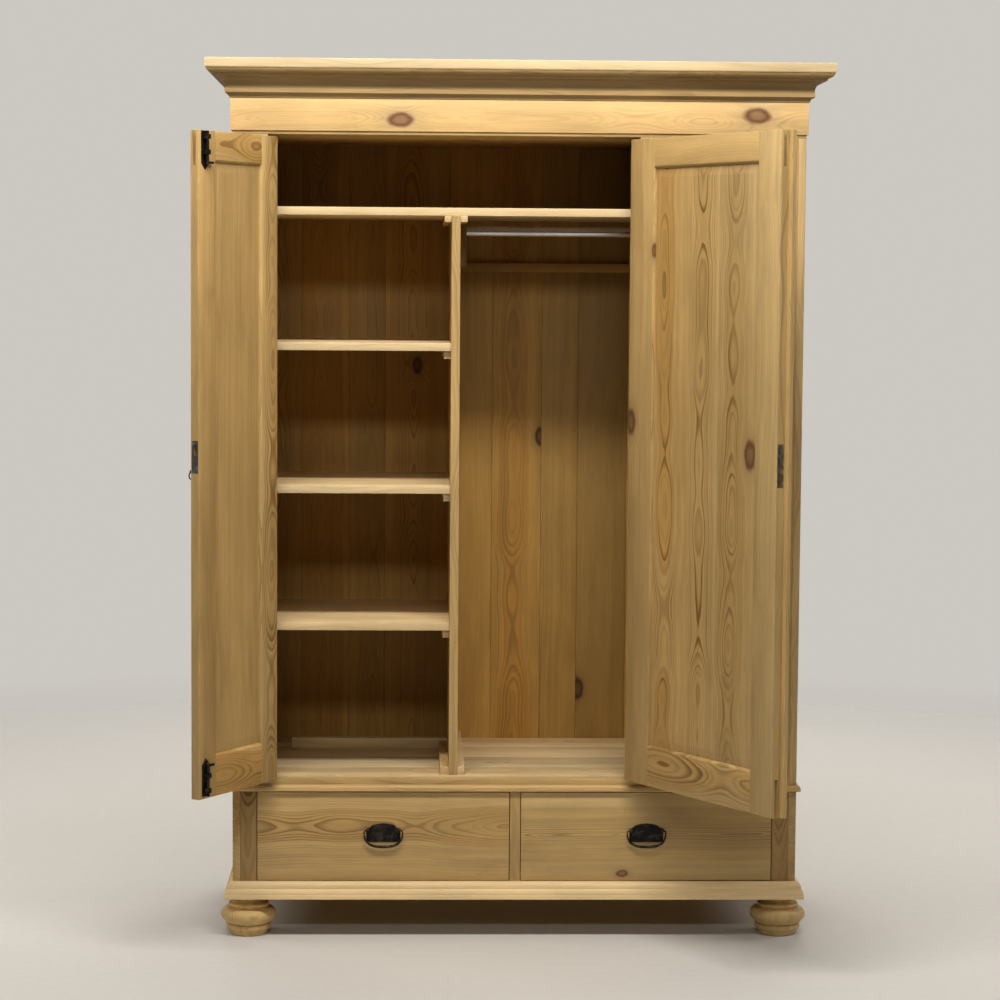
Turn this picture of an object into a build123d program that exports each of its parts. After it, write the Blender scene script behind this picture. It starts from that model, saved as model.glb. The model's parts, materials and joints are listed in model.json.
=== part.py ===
"""Pine wardrobe: two hinged doors, a fixed panel, shelves, a hanging space and two drawers.

Millimetres. X runs left to right, Y runs back into the cabinet, Z runs up from the floor.
The origin is on the floor, below the middle of the carcass front.
"""

import os
from math import cos, radians, sin

from build123d import *

os.makedirs("parts", exist_ok=True)

# ---- overall sizes -----------------------------------------------------------------
width = 1296.0            # carcass, across the side boards
depth = 560.0             # carcass, front face to back face
height = 2000.0           # floor to the top of the cornice
arris = 1.0               # softened edge of a planed board
touch = 0.5               # clearance between a moving piece and its neighbours

# ---- heights, from the floor up ----------------------------------------------------
foot_height = 91.0
plinth_height = 40.0      # base moulding
drawer_gap = 1.5
drawer_height = 204.5
base_top_thickness = 15.0
waist_ledge = 15.0        # front rail under the doors
floor_thickness = 20.0
door_gap_bottom = 2.0
door_gap_top = 7.0
cap_thickness = 18.0
cap_lip = 8.0             # edge of the cap board seen under the frieze
frieze_height = 73.0
cornice_height = 62.0
cornice_top_thickness = 23.0

z_plinth = foot_height + plinth_height
z_drawer = z_plinth + drawer_gap
z_base_top = z_drawer + drawer_height + drawer_gap
z_waist = z_base_top + base_top_thickness
z_ledge = z_waist + waist_ledge
z_floor = z_waist + floor_thickness
z_cornice_top = height - cornice_top_thickness
z_cornice = z_cornice_top - cornice_height
z_frieze = z_cornice - frieze_height
z_cap = z_frieze - cap_lip
z_door_low = z_ledge + door_gap_bottom
z_door_high = z_cap - door_gap_top

# ---- boards of the carcass ---------------------------------------------------------
side_thickness = 17.0
frame_thickness = 22.0    # stiles, doors and fixed panel
stile_width = 63.0
back_thickness = 12.0
back_inset = 8.0          # back boards sit this far inside the side boards
frieze_thickness = 22.0
frieze_proud = 4.0
x_side = width / 2
x_inner = x_side - side_thickness
x_pivot = x_inner - stile_width
y_back = depth - back_inset - back_thickness
y_frieze = frieze_thickness - frieze_proud

# ---- interior ----------------------------------------------------------------------
fitting_front = frame_thickness + touch
divider_left = -153.0
divider_thickness = 20.0
divider_right = divider_left + divider_thickness
shelf_thickness = 18.0
shelf_front = 30.0
shelf_behind = 40.0       # space between the shelves and the back boards
shelf_back = y_back - shelf_behind
shelf_tops = (1366.0, 1040.0, 725.0)
top_shelf_top = 1673.0
bearer_width = 16.0
bearer_height = 18.0
bearer_inset = 12.0
cleat_width = 16.0
cleat_height = 14.0
batten_front = 390.0
batten_depth = 26.0
batten_height = 24.0
batten_left = -530.0
hanger_diameter = 25.0
hanger_wall = 1.5
hanger_z = 1625.0
hanger_y = 280.0
block_thickness = 18.0
block_width = 50.0
block_height = 100.0
block_above = 16.0        # block above the centre of the hanging rail
hanger_seat = 8.0         # depth of the rail's socket in its block
back_rail_height = 21.0
back_rail_thickness = 15.0
back_rail_top = 1552.0
back_seams = (-512.0, -396.0, -307.0, -150.0, -44.0, 78.0, 168.0, 290.0, 405.0, 520.0)
seam_gap = 0.6
floor_seams = (130.0, 265.0, 410.0)

# ---- feet and mouldings, as profiles of (out from the carcass, up) -----------------
foot_inset = 34.0         # middle of a foot from the side of the carcass
foot_from_back = 60.0
foot_x = x_side - foot_inset
foot_front_y = 46.0
foot_back_y = depth - foot_from_back
foot_disc_radius = 44.0
foot_groove_radius = 40.0
foot_band_radius = 50.0
foot_bun_radius = 64.0
foot_torus_radius = 48.0
foot_neck_radius = 30.0
foot_collar_radius = 33.0

plinth_top_out = 7.0
plinth_out = 19.0
plinth_foot = 6.0
waist_out = 9.0
waist_nose = 14.0         # height of the waist moulding
waist_lap = 1.5           # nose above the top of the base
cornice_out = 58.0
cornice_round = 5.0
bead_out = 14.0
ovolo_radius = 30.0

# ---- doors -------------------------------------------------------------------------
left_leaf_width = 300.0
hinge_gap = 1.5
meeting_gap = 3.0
pivot_y = -6.0            # hinge pins stand just in front of the carcass
x_lock_pivot = 272.0
left_swing = 121.5        # how far the leaves stand open
lock_swing = 121.4
lock_leaf_width = x_lock_pivot + x_pivot - left_leaf_width - 2 * hinge_gap - meeting_gap
left_stile_width = 62.0
lock_stile_width = 74.0
lock_hinge_stile_width = 88.0
top_rail_width = 67.0
bottom_rail_width = 93.0
rail_chamfer = 6.0
groove_depth = 8.0
tongue = 6.0              # edge of a panel, held in the grooves
panel_field = 4.0         # how far the field stands over the tongue on each face
panel_bevel = 20.0
bolt_slot_width = 9.0
bolt_slot_depth = 8.0
bolt_slot_from_inside = 12.0
bolt_slot_height = 76.0
low_slot_height = 82.0
cover_width = 30.0
cover_thickness = 12.0
cover_round = 5.0
cover_lap = 12.0          # cover strip past the edge of its own leaf

# ---- hinges ------------------------------------------------------------------------
hinge_heights = (560.0, 1640.0)
knuckle_radius = 5.0
knuckle_height = 36.0
pin_radius = 3.0
pin_clearance = 0.05
pin_length = 30.0
hinge_plate = 1.2
hinge_plate_depth = 24.0
finial_height = 8.0

# ---- bolts of the left leaf --------------------------------------------------------
bolt_plate_width = 27.0
bolt_plate_height = 83.0
bolt_plate_thickness = 2.0
bolt_plate_point = 14.0
bolt_x = 279.0            # from the hinge pin
bolt_radius = 4.0
bolt_clearance = 0.1
bolt_off = 7.0            # centre of the rod from the door
bolt_length = 74.0
bolt_throw = 13.0
bolt_socket_play = 1.0
staple_width = 20.0
staple_height = 10.0
staple_depth = 11.5
staple_round = 3.0
staple_places = (0.15, 0.55)   # along the plate, from the edge of the door
lever_place = 0.82
lever_length = 22.0
lever_thickness = 6.0
bolt_plate_low = z_floor + 3.0
bolt_plate_high = z_door_high - 1.0

# ---- lock, key, ring pull ----------------------------------------------------------
lock_z = 1122.0
faceplate_height = 92.0
faceplate_width = 17.0
faceplate_thickness = 2.0
case_height = 70.0
case_depth = 56.0
case_thickness = 14.0
case_wall = 1.5
latch_height = 20.0
latch_thickness = 7.0
latch_length = 34.0
latch_throw = 10.0
latch_rise = 16.0         # centre of the bolt over the key
key_setback = 30.0        # key hole from the edge of the door
key_radius = 2.5
key_clearance = 0.1
key_bit_height = 9.0
key_bit_thickness = 2.5
key_bit_length = 7.0
key_out = 24.0            # shank outside the door
key_bow_radius = 13.0
key_bow_hole = 8.5
key_bow_thickness = 4.0
escutcheon_width = 22.0
escutcheon_height = 46.0
escutcheon_thickness = 1.5
strike_height = 71.0
ring_from_edge = 21.0
ring_z = 1080.0
ring_outer = 9.5
ring_wire = 1.5
ring_off = 14.0
ring_plate_radius = 7.0
ring_plate_thickness = 2.0
ring_eye = 4.0
ring_eye_width = 3.0
ring_play = 0.7

# ---- drawers and their handles -----------------------------------------------------
post_width = 38.0
post_depth = 30.0
centre_post_width = 24.0
drawer_front_thickness = 20.0
drawer_board = 12.0
drawer_behind = 40.0      # space between a drawer and the base back
drawer_box_back = y_back - drawer_behind
drawer_box_height = 180.0
drawer_box_lift = 2.5
drawer_bottom_thickness = 7.0
drawer_bottom_lift = 8.0
glue_line = 0.2           # gap between boards glued to each other
drawer_play = 2.0         # drawer side to its guide
runner_height = 10.0
runner_width = 34.0
guide_height = 34.0
base_board_thickness = 12.0
plate_half_width = 39.0
plate_height = 43.0
plate_shoulder = 31.0
plate_thickness = 2.0
plate_low = 222.0
lug_width = 6.0
lug_size = 9.0
lug_x = 36.0
bail_z = 250.0
bail_off = 8.5            # bail pivots from the drawer front
bail_half_width = 44.5
bail_radius = 2.4
bail_hole_clearance = 0.1
bail_drop = 40.0
bail_corner = 17.0
bail_bend = 5.0


def board(x, y, z, base=Plane.XY, edge=arris):
    """A planed board between two corners, with its edges softened."""
    with BuildPart() as plank:
        with BuildSketch(base.offset(z[0])):
            with Locations((sum(x) / 2, sum(y) / 2)):
                Rectangle(x[1] - x[0], y[1] - y[0])
        extrude(amount=z[1] - z[0])
        if edge:
            chamfer(plank.edges(), length=edge)
    return plank.part


def upright(base, y):
    """The vertical plane across a leaf at depth y, facing out of the cabinet."""
    return Plane(base.from_local_coords((0, y, 0)), x_dir=base.x_dir, z_dir=-base.y_dir)


def across(base, x):
    """The vertical plane square to a leaf at x; its own x runs through the leaf."""
    return Plane(base.from_local_coords((x, 0, 0)), x_dir=base.y_dir, z_dir=base.x_dir)


def rail(x, y, z, base, chamfered):
    """A rail of a frame; the edge along the panel is chamfered on both faces."""
    with BuildPart() as piece:
        add(board(x, y, z, base, edge=0))
        near_panel = piece.edges().filter_by(Axis(base.origin, base.x_dir))
        chamfer(near_panel.group_by(Axis.Z)[chamfered], length=rail_chamfer)
        if chamfered:
            slot = (z[1] - groove_depth, z[1])
        else:
            slot = (z[0], z[0] + groove_depth)
        middle = sum(y) / 2
        held = (middle - tongue / 2, middle + tongue / 2)
        add(board(x, held, slot, base, edge=0), mode=Mode.SUBTRACT)
    return piece.part


def stile(x, y, z, base, panel_side):
    """A stile with the panel's groove along one edge."""
    with BuildPart() as piece:
        add(board(x, y, z, base))
        middle = sum(y) / 2
        held = (middle - tongue / 2, middle + tongue / 2)
        slot = (x[1] - groove_depth, x[1]) if panel_side > 0 else (x[0], x[0] + groove_depth)
        inside = (z[0] + bottom_rail_width - groove_depth, z[1] - top_rail_width + groove_depth)
        add(board(slot, held, inside, base, edge=0), mode=Mode.SUBTRACT)
    return piece.part


def fielded_panel(x, y, z, base):
    """A panel whose thin edge sits in the frame and whose field is bevelled up to it."""
    middle_x, middle_z = sum(x) / 2, sum(z) / 2
    across, tall = x[1] - x[0], z[1] - z[0]
    middle = sum(y) / 2
    with BuildPart() as piece:
        with BuildSketch(upright(base, middle)):
            with Locations((middle_x, middle_z)):
                Rectangle(across + 2 * groove_depth, tall + 2 * groove_depth)
        extrude(amount=tongue / 2, both=True)
        for out in (-1, 1):
            with BuildSketch(upright(base, middle + out * tongue / 2)):
                with Locations((middle_x, middle_z)):
                    Rectangle(across - 2 * touch, tall - 2 * touch)
            with BuildSketch(upright(base, middle + out * (tongue / 2 + panel_field))):
                with Locations((middle_x, middle_z)):
                    Rectangle(across - 2 * panel_bevel, tall - 2 * panel_bevel)
            loft()
    return piece.part


def run_of_moulding(profile, z):
    """A moulding along the left side, the front and the right side, mitred at both corners."""
    with BuildPart() as run:
        with BuildLine() as path:
            Polyline((-x_side, depth, z), (-x_side, 0, z), (x_side, 0, z), (x_side, depth, z))
        with BuildSketch(Plane((-x_side, depth, z), x_dir=(-1, 0, 0), z_dir=(0, 1, 0))):
            add(profile)
        sweep(path=path.line, transition=Transition.RIGHT)
        with BuildSketch(Plane.XY.offset(z)):
            for hand in (-1, 1):
                with Locations((hand * x_side, 0)):
                    Rectangle(seam_gap, 4 * cornice_out, rotation=hand * 45)
        extrude(amount=cornice_height, mode=Mode.SUBTRACT)
    return run.part


# ==== base ==========================================================================
with BuildPart() as foot:
    with BuildSketch(Plane.XZ):
        with BuildLine():
            Polyline((0, 0), (foot_disc_radius - 3, 0), (foot_disc_radius, 3),
                     (foot_disc_radius, 9), (foot_groove_radius, 12), (foot_groove_radius, 15),
                     (foot_band_radius, 17))
            ThreePointArc((foot_band_radius, 17), (foot_band_radius + 4, 23),
                          (foot_band_radius + 5, 29))
            ThreePointArc((foot_band_radius + 5, 29), (foot_bun_radius, 46),
                          (foot_torus_radius, 63))
            ThreePointArc((foot_torus_radius, 63), (foot_torus_radius + 3, 68),
                          (foot_torus_radius - 3, 74))
            ThreePointArc((foot_torus_radius - 3, 74), (foot_neck_radius + 3, 77),
                          (foot_neck_radius, 83))
            Polyline((foot_neck_radius, 83), (foot_collar_radius, 84),
                     (foot_collar_radius, foot_height), (0, foot_height), (0, 0))
        make_face()
    revolve(axis=Axis.Z)

with BuildPart() as feet:
    with Locations(*[(x, y, 0) for x in (-foot_x, foot_x) for y in (foot_front_y, foot_back_y)]):
        add(foot.part)

with BuildPart() as base_sides:
    for x in ((-x_side, -x_inner), (x_inner, x_side)):
        add(board(x, (0, depth), (foot_height, z_waist)))

with BuildPart() as base_back:
    add(board((-x_inner, x_inner), (y_back, y_back + back_thickness), (foot_height, z_waist)))

z_base_board = z_drawer + drawer_box_lift - touch - runner_height
with BuildPart() as base_bottom:
    add(board((-x_inner, x_inner), (post_depth, y_back),
              (z_base_board - base_board_thickness, z_base_board)))

with BuildPart() as front_rails:
    add(board((-x_inner, x_inner), (0, post_depth), (foot_height, z_plinth)))
    add(board((-x_inner, x_inner), (0, frame_thickness), (z_waist, z_ledge)))

with BuildPart() as front_posts:
    for x in ((-x_inner, post_width - x_inner), (x_inner - post_width, x_inner)):
        add(board(x, (0, post_depth), (z_plinth, z_base_top)))
    add(board((-centre_post_width / 2, centre_post_width / 2), (0, post_depth),
              (z_plinth, z_base_top)))

with BuildPart() as drawer_partition:
    add(board((-centre_post_width / 2, centre_post_width / 2), (post_depth, y_back),
              (z_base_board, z_base_top)))

x_guide = x_inner - post_width
with BuildPart() as drawer_runners:
    for hand in (-1, 1):
        outer = sorted((hand * x_inner, hand * (x_guide - runner_width)))
        guide = sorted((hand * x_inner, hand * x_guide))
        inner = sorted((hand * centre_post_width / 2, hand * (centre_post_width / 2 + runner_width)))
        add(board(outer, (post_depth, y_back), (z_base_board, z_base_board + runner_height), edge=0))
        add(board(guide, (post_depth, y_back),
                  (z_base_board + runner_height + glue_line, z_base_board + guide_height), edge=0))
        add(board(inner, (post_depth, y_back), (z_base_board, z_base_board + runner_height), edge=0))

with BuildPart() as base_top:
    add(board((-x_inner, x_inner), (0, y_back), (z_base_top, z_waist)))

with BuildSketch() as plinth_profile:
    with BuildLine():
        Polyline((0, plinth_height), (0, 0), (plinth_out, 0), (plinth_out, plinth_foot))
        ThreePointArc((plinth_out, plinth_foot), (plinth_out - 4, plinth_height * 0.62),
                      (plinth_top_out, plinth_height - 2))
        Polyline((plinth_top_out, plinth_height - 2), (plinth_top_out, plinth_height),
                 (0, plinth_height))
    make_face()

with BuildPart() as base_moulding:
    add(run_of_moulding(plinth_profile.sketch, foot_height))

nose_round = waist_out
with BuildSketch() as waist_profile:
    with BuildLine():
        Polyline((0, waist_nose), (0, 0), (waist_out - 1, 0), (waist_out, 1),
                 (waist_out, waist_nose - nose_round))
        RadiusArc((waist_out, waist_nose - nose_round), (0, waist_nose), -nose_round)
    make_face()

with BuildPart() as waist_moulding:
    add(run_of_moulding(waist_profile.sketch, z_waist + waist_lap - waist_nose))

# ==== planes of the two leaves, each turned about its hinge pins ====================
left_leaf = Plane((-x_pivot, pivot_y, 0), z_dir=(0, 0, 1),
                  x_dir=(cos(radians(left_swing)), -sin(radians(left_swing)), 0))
lock_leaf = Plane((x_lock_pivot, pivot_y, 0), z_dir=(0, 0, 1),
                  x_dir=(cos(radians(lock_swing)), sin(radians(lock_swing)), 0))
leaf_y = (-pivot_y, frame_thickness - pivot_y)
leaf_z = (z_door_low, z_door_high)
field_z = (z_door_low + bottom_rail_width, z_door_high - top_rail_width)
slot_y = (leaf_y[1] - bolt_slot_from_inside - bolt_slot_width / 2,
          leaf_y[1] - bolt_slot_from_inside + bolt_slot_width / 2)

# ==== hinges ========================================================================
post_left = Plane((-x_pivot, pivot_y, 0), x_dir=(1, 0, 0), z_dir=(0, 0, 1))
post_lock = Plane((x_lock_pivot, pivot_y, 0), x_dir=(1, 0, 0), z_dir=(0, 0, 1))
left_plate_x = (hinge_gap, hinge_gap + hinge_plate)
lock_plate_x = (-hinge_gap - hinge_plate, -hinge_gap)
hinge_plate_y = (0, leaf_y[0] + hinge_plate_depth / 2)
lower_halves = [(z, z + knuckle_height) for z in hinge_heights]
upper_halves = [(z[1] + touch, z[1] + touch + knuckle_height) for z in lower_halves]


def hinge_half(base, x, z, pinned):
    """A knuckle and its plate; the lower half carries the pin and the upper half its bore."""
    with BuildPart() as half:
        with BuildSketch(base.offset(z[0])):
            Circle(knuckle_radius)
        extrude(amount=knuckle_height)
        add(board(x, hinge_plate_y, z, base, edge=0))
        with BuildSketch(base.offset(z[0] if pinned else z[1])):
            Circle(knuckle_radius - 1)
        extrude(amount=-finial_height if pinned else finial_height, taper=16)
        if pinned:
            with BuildSketch(base.offset(z[1])):
                Circle(pin_radius)
            extrude(amount=pin_length)
        else:
            with BuildSketch(base.offset(z[0])):
                Circle(pin_radius + pin_clearance)
            extrude(amount=pin_length + touch, mode=Mode.SUBTRACT)
    return half.part


with BuildPart() as carcass_hinges:
    for z in lower_halves:
        add(hinge_half(post_left, (-hinge_plate, 0), z, True))
        add(hinge_half(post_lock, (0, hinge_plate), z, True))

with BuildPart() as left_hinges:
    for z in upper_halves:
        add(hinge_half(left_leaf, left_plate_x, z, False))

with BuildPart() as lock_hinges:
    for z in upper_halves:
        add(hinge_half(lock_leaf, lock_plate_x, z, False))

# ==== carcass =======================================================================
with BuildPart() as side_left:
    add(board((-x_side, -x_inner), (0, depth), (z_waist, z_cap)))

with BuildPart() as side_right:
    add(board((x_inner, x_side), (0, depth), (z_waist, z_cap)))

with BuildPart() as front_stiles:
    for x in ((-x_inner, -x_pivot), (x_pivot, x_inner)):
        add(board(x, (0, frame_thickness), (z_ledge, z_cap)))
    for z in lower_halves:
        add(board((-hinge_plate, 0), hinge_plate_y, z, post_left, edge=0), mode=Mode.SUBTRACT)

bolt_spot = (bolt_x - x_pivot, frame_thickness + bolt_off)
floor_lines = (fitting_front, *floor_seams, y_back)
with BuildPart() as floor_boards:
    for near, far in zip(floor_lines, floor_lines[1:]):
        add(board((-x_inner, x_inner), (near, far - seam_gap), (z_waist, z_floor)))
    with BuildSketch(Plane.XY.offset(z_floor)):
        with Locations(bolt_spot):
            Circle(bolt_radius + bolt_socket_play)
    extrude(amount=-(bolt_throw + bolt_socket_play), mode=Mode.SUBTRACT)

with BuildPart() as cap_board:
    add(board((-x_side, x_side), (0, depth), (z_cap, z_cap + cap_thickness), edge=0))
    with BuildSketch(Plane.XY.offset(z_frieze)):
        Rectangle(width, 2 * depth)
        with Locations((0, depth)):
            Rectangle(width - 2 * y_frieze, 2 * (depth - y_frieze), mode=Mode.SUBTRACT)
    extrude(amount=cap_thickness, mode=Mode.SUBTRACT)
    with BuildSketch(Plane.XY.offset(z_cap)):
        with Locations(bolt_spot):
            Circle(bolt_radius + bolt_socket_play)
    extrude(amount=bolt_throw + bolt_socket_play, mode=Mode.SUBTRACT)

with BuildPart() as frieze:
    add(board((-x_side - frieze_proud, x_side + frieze_proud), (-frieze_proud, y_frieze),
              (z_frieze, z_cornice)))
    for hand in (-1, 1):
        ends = sorted((hand * (x_side + frieze_proud), hand * (x_side - y_frieze)))
        add(board(ends, (y_frieze + seam_gap, depth), (z_frieze, z_cornice)))

with BuildSketch() as cornice_profile:
    with BuildLine():
        Polyline((-y_frieze, cornice_height), (-y_frieze, 0), (6, 0), (6, 4), (bead_out - 4, 4))
        ThreePointArc((bead_out - 4, 4), (bead_out, 10.5), (bead_out - 4, 17))
        Line((bead_out - 4, 17), (bead_out, 19))
        ThreePointArc((bead_out, 19), (bead_out + 0.5, 28), (bead_out + 6, 37))
        Polyline((bead_out + 6, 37), (cornice_out - ovolo_radius, 37),
                 (cornice_out - ovolo_radius, 41))
        ThreePointArc((cornice_out - ovolo_radius, 41),
                      (cornice_out - ovolo_radius + 20, 48.5),
                      (cornice_out - 2.5, cornice_height))
        Line((cornice_out - 2.5, cornice_height), (-y_frieze, cornice_height))
    make_face()

with BuildPart() as cornice_moulding:
    add(run_of_moulding(cornice_profile.sketch, z_cornice))

with BuildPart() as cornice_top:
    add(board((-x_side - cornice_out, x_side + cornice_out), (-cornice_out, depth),
              (z_cornice_top, height), edge=0))
    lower = cornice_top.faces().sort_by(Axis.Z)[0].edges()
    fillet(lower.filter_by(Axis.X).sort_by(Axis.Y)[:1] + lower.filter_by(Axis.Y),
           radius=cornice_round)
    fillet(cornice_top.faces().sort_by(Axis.Z)[-1].edges(), radius=2)

back_lines = (-x_inner, *back_seams, x_inner)
with BuildPart() as back_boards:
    for left, right in zip(back_lines, back_lines[1:]):
        add(board((left, right - seam_gap), (y_back, y_back + back_thickness), (z_waist, z_cap)))

with BuildPart() as back_rails:
    add(board((divider_right, x_inner), (y_back - back_rail_thickness, y_back),
              (back_rail_top - back_rail_height, back_rail_top)))

# ==== interior ======================================================================
z_top_shelf = top_shelf_top - shelf_thickness
with BuildPart() as top_shelf:
    add(board((-x_inner, x_inner), (shelf_front, y_back), (z_top_shelf, top_shelf_top)))

with BuildPart() as divider:
    add(board((divider_left, divider_right), (fitting_front, y_back), (z_floor, z_top_shelf)))

with BuildPart() as shelves:
    for top in shelf_tops:
        add(board((-x_inner, divider_left), (shelf_front, shelf_back),
                  (top - shelf_thickness, top)))

with BuildPart() as shelf_bearers:
    for top in shelf_tops:
        z = (top - shelf_thickness - bearer_height, top - shelf_thickness)
        for x in ((-x_inner, bearer_width - x_inner), (divider_left - bearer_width, divider_left)):
            add(board(x, (shelf_front + bearer_inset, shelf_back), z))

with BuildPart() as cleats:
    for x in ((divider_left - cleat_width, divider_left),
              (divider_right, divider_right + cleat_width)):
        add(board(x, (shelf_front, y_back - back_rail_thickness),
                  (z_top_shelf - cleat_height, z_top_shelf)))
    add(board((divider_left - divider_thickness, divider_left), (fitting_front + 2, batten_front),
              (z_floor, z_floor + bearer_height)))
    add(board((divider_right, divider_right + cleat_width), (fitting_front + 2, y_back),
              (z_floor, z_floor + bearer_height)))
    add(board((batten_left, divider_left), (batten_front + glue_line, batten_front + batten_depth),
              (z_floor, z_floor + batten_height)))

block_z = (hanger_z + block_above - block_height, hanger_z + block_above)
block_y = (hanger_y - block_width / 2, hanger_y + block_width / 2)
with BuildPart() as rail_blocks:
    for x in ((divider_right, divider_right + block_thickness), (x_inner - block_thickness, x_inner)):
        add(board(x, block_y, block_z))
    with BuildSketch(Plane.YZ.offset(divider_right + block_thickness - hanger_seat)):
        with Locations((hanger_y, hanger_z)):
            Circle(hanger_diameter / 2)
    extrude(amount=x_inner - divider_right - 2 * (block_thickness - hanger_seat),
            mode=Mode.SUBTRACT)

with BuildPart() as hanging_rail:
    with BuildSketch(Plane.YZ.offset(divider_right + block_thickness - hanger_seat)):
        with Locations((hanger_y, hanger_z)):
            Circle(hanger_diameter / 2)
            Circle(hanger_diameter / 2 - hanger_wall, mode=Mode.SUBTRACT)
    extrude(amount=x_inner - divider_right - 2 * (block_thickness - hanger_seat))

# ==== fixed panel, right of the lock leaf ===========================================
fixed_x = (x_lock_pivot, x_pivot)
fixed_z = (z_ledge, z_cap)
frame_y = (0, frame_thickness)
fixed_field_x = (fixed_x[0] + left_stile_width, fixed_x[1] - left_stile_width)
fixed_field_z = (fixed_z[0] + bottom_rail_width, fixed_z[1] - top_rail_width)

with BuildPart() as fixed_stiles:
    add(stile((fixed_x[0], fixed_field_x[0]), frame_y, fixed_z, Plane.XY, 1))
    add(stile((fixed_field_x[1], fixed_x[1]), frame_y, fixed_z, Plane.XY, -1))
    for z in lower_halves:
        add(board((0, hinge_plate), hinge_plate_y, z, post_lock, edge=0), mode=Mode.SUBTRACT)

with BuildPart() as fixed_rails:
    add(rail(fixed_field_x, frame_y, (fixed_z[0], fixed_field_z[0]), Plane.XY, -1))
    add(rail(fixed_field_x, frame_y, (fixed_field_z[1], fixed_z[1]), Plane.XY, 0))

with BuildPart() as fixed_panel:
    add(fielded_panel(fixed_field_x, frame_y, fixed_field_z, Plane.XY))

# ==== left leaf =====================================================================
left_x = (hinge_gap, hinge_gap + left_leaf_width)
left_field_x = (left_x[0] + left_stile_width, left_x[1] - left_stile_width)
strike_y = (sum(leaf_y) / 2 - faceplate_width / 2, sum(leaf_y) / 2 + faceplate_width / 2)
strike_z = (lock_z - strike_height / 2, lock_z + strike_height / 2)
latch_reach = latch_thickness / 2 + touch
latch_y = (sum(leaf_y) / 2 - latch_reach, sum(leaf_y) / 2 + latch_reach)
latch_rest = (lock_z + latch_rise - latch_height / 2, lock_z + latch_rise + latch_height / 2)
latch_z = (latch_rest[0] - touch, latch_rest[1] + touch)

with BuildPart() as left_stiles:
    add(stile((left_x[0], left_field_x[0]), leaf_y, leaf_z, left_leaf, 1))
    add(stile((left_field_x[1], left_x[1]), leaf_y, leaf_z, left_leaf, -1))
    add(board((left_x[1] - bolt_slot_depth, left_x[1]), slot_y,
              (leaf_z[1] - bolt_slot_height, leaf_z[1]), left_leaf, edge=0), mode=Mode.SUBTRACT)
    add(board((left_x[1] - faceplate_thickness, left_x[1]), strike_y, strike_z, left_leaf, edge=0),
        mode=Mode.SUBTRACT)
    add(board((left_x[1] - latch_throw - 2, left_x[1]), latch_y, latch_z, left_leaf, edge=0),
        mode=Mode.SUBTRACT)
    for z in upper_halves:
        add(board(left_plate_x, hinge_plate_y, z, left_leaf, edge=0), mode=Mode.SUBTRACT)

with BuildPart() as left_rails:
    add(rail(left_field_x, leaf_y, (leaf_z[0], field_z[0]), left_leaf, -1))
    add(rail(left_field_x, leaf_y, (field_z[1], leaf_z[1]), left_leaf, 0))

with BuildPart() as left_panel:
    add(fielded_panel(left_field_x, leaf_y, field_z, left_leaf))

with BuildPart() as strike_plate:
    add(board((left_x[1] - faceplate_thickness, left_x[1]), strike_y, strike_z, left_leaf, edge=0))
    add(board((left_x[1] - faceplate_thickness, left_x[1]), latch_y, latch_z, left_leaf, edge=0),
        mode=Mode.SUBTRACT)


def bolt_plate(z, tip):
    """A back plate with two staples; tip is +1 for a point at the top and -1 at the bottom."""
    half = bolt_plate_width / 2
    middle = (z[0] + z[1]) / 2
    reach = (z[1] - z[0]) / 2
    on_door = upright(left_leaf, leaf_y[1])
    with BuildPart() as fitting:
        with BuildSketch(on_door):
            with BuildLine():
                Polyline((bolt_x - half, middle - tip * reach), (bolt_x + half, middle - tip * reach),
                         (bolt_x + half, middle + tip * (reach - bolt_plate_point)),
                         (bolt_x, middle + tip * reach),
                         (bolt_x - half, middle + tip * (reach - bolt_plate_point)),
                         (bolt_x - half, middle - tip * reach))
            make_face()
        extrude(amount=-bolt_plate_thickness)
        for along in staple_places:
            low = middle - tip * (1 - 2 * along) * reach - staple_height / 2
            add(board((bolt_x - staple_width / 2, bolt_x + staple_width / 2),
                      (leaf_y[1] + bolt_plate_thickness, leaf_y[1] + staple_depth),
                      (low, low + staple_height), left_leaf, edge=0))
        fillet(fitting.faces().sort_by(Axis(left_leaf.origin, left_leaf.y_dir))[-2:]
               .edges().filter_by(Axis.Z), radius=staple_round)
        with BuildSketch(left_leaf.offset(z[0] - staple_height)):
            with Locations((bolt_x, leaf_y[1] + bolt_off)):
                Circle(bolt_radius + bolt_clearance)
        extrude(amount=z[1] - z[0] + 2 * staple_height, mode=Mode.SUBTRACT)
    return fitting.part


def bolt_rod(z, lever_z):
    """A round bolt with a thumb lever reaching towards the hinge."""
    with BuildPart() as rod:
        with BuildSketch(left_leaf.offset(z[0])):
            with Locations((bolt_x, leaf_y[1] + bolt_off)):
                Circle(bolt_radius)
        extrude(amount=z[1] - z[0])
        chamfer(rod.edges().filter_by(GeomType.CIRCLE), length=0.8)
        add(board((bolt_x - lever_length, bolt_x),
                  (leaf_y[1] + bolt_off - lever_thickness / 2, leaf_y[1] + bolt_off + lever_thickness / 2),
                  (lever_z - lever_thickness / 2, lever_z + lever_thickness / 2), left_leaf, edge=0.8))
    return rod.part


top_plate_z = (bolt_plate_high - bolt_plate_height, bolt_plate_high)
low_plate_z = (bolt_plate_low, bolt_plate_low + bolt_plate_height)
with BuildPart() as bolt_plates:
    add(bolt_plate(top_plate_z, -1))
    add(bolt_plate(low_plate_z, 1))

with BuildPart() as top_bolt:
    add(bolt_rod((bolt_plate_high - bolt_length, bolt_plate_high),
                 bolt_plate_high - bolt_plate_height * lever_place))

with BuildPart() as bottom_bolt:
    add(bolt_rod((bolt_plate_low, bolt_plate_low + bolt_length),
                 bolt_plate_low + bolt_plate_height * lever_place))

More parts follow.
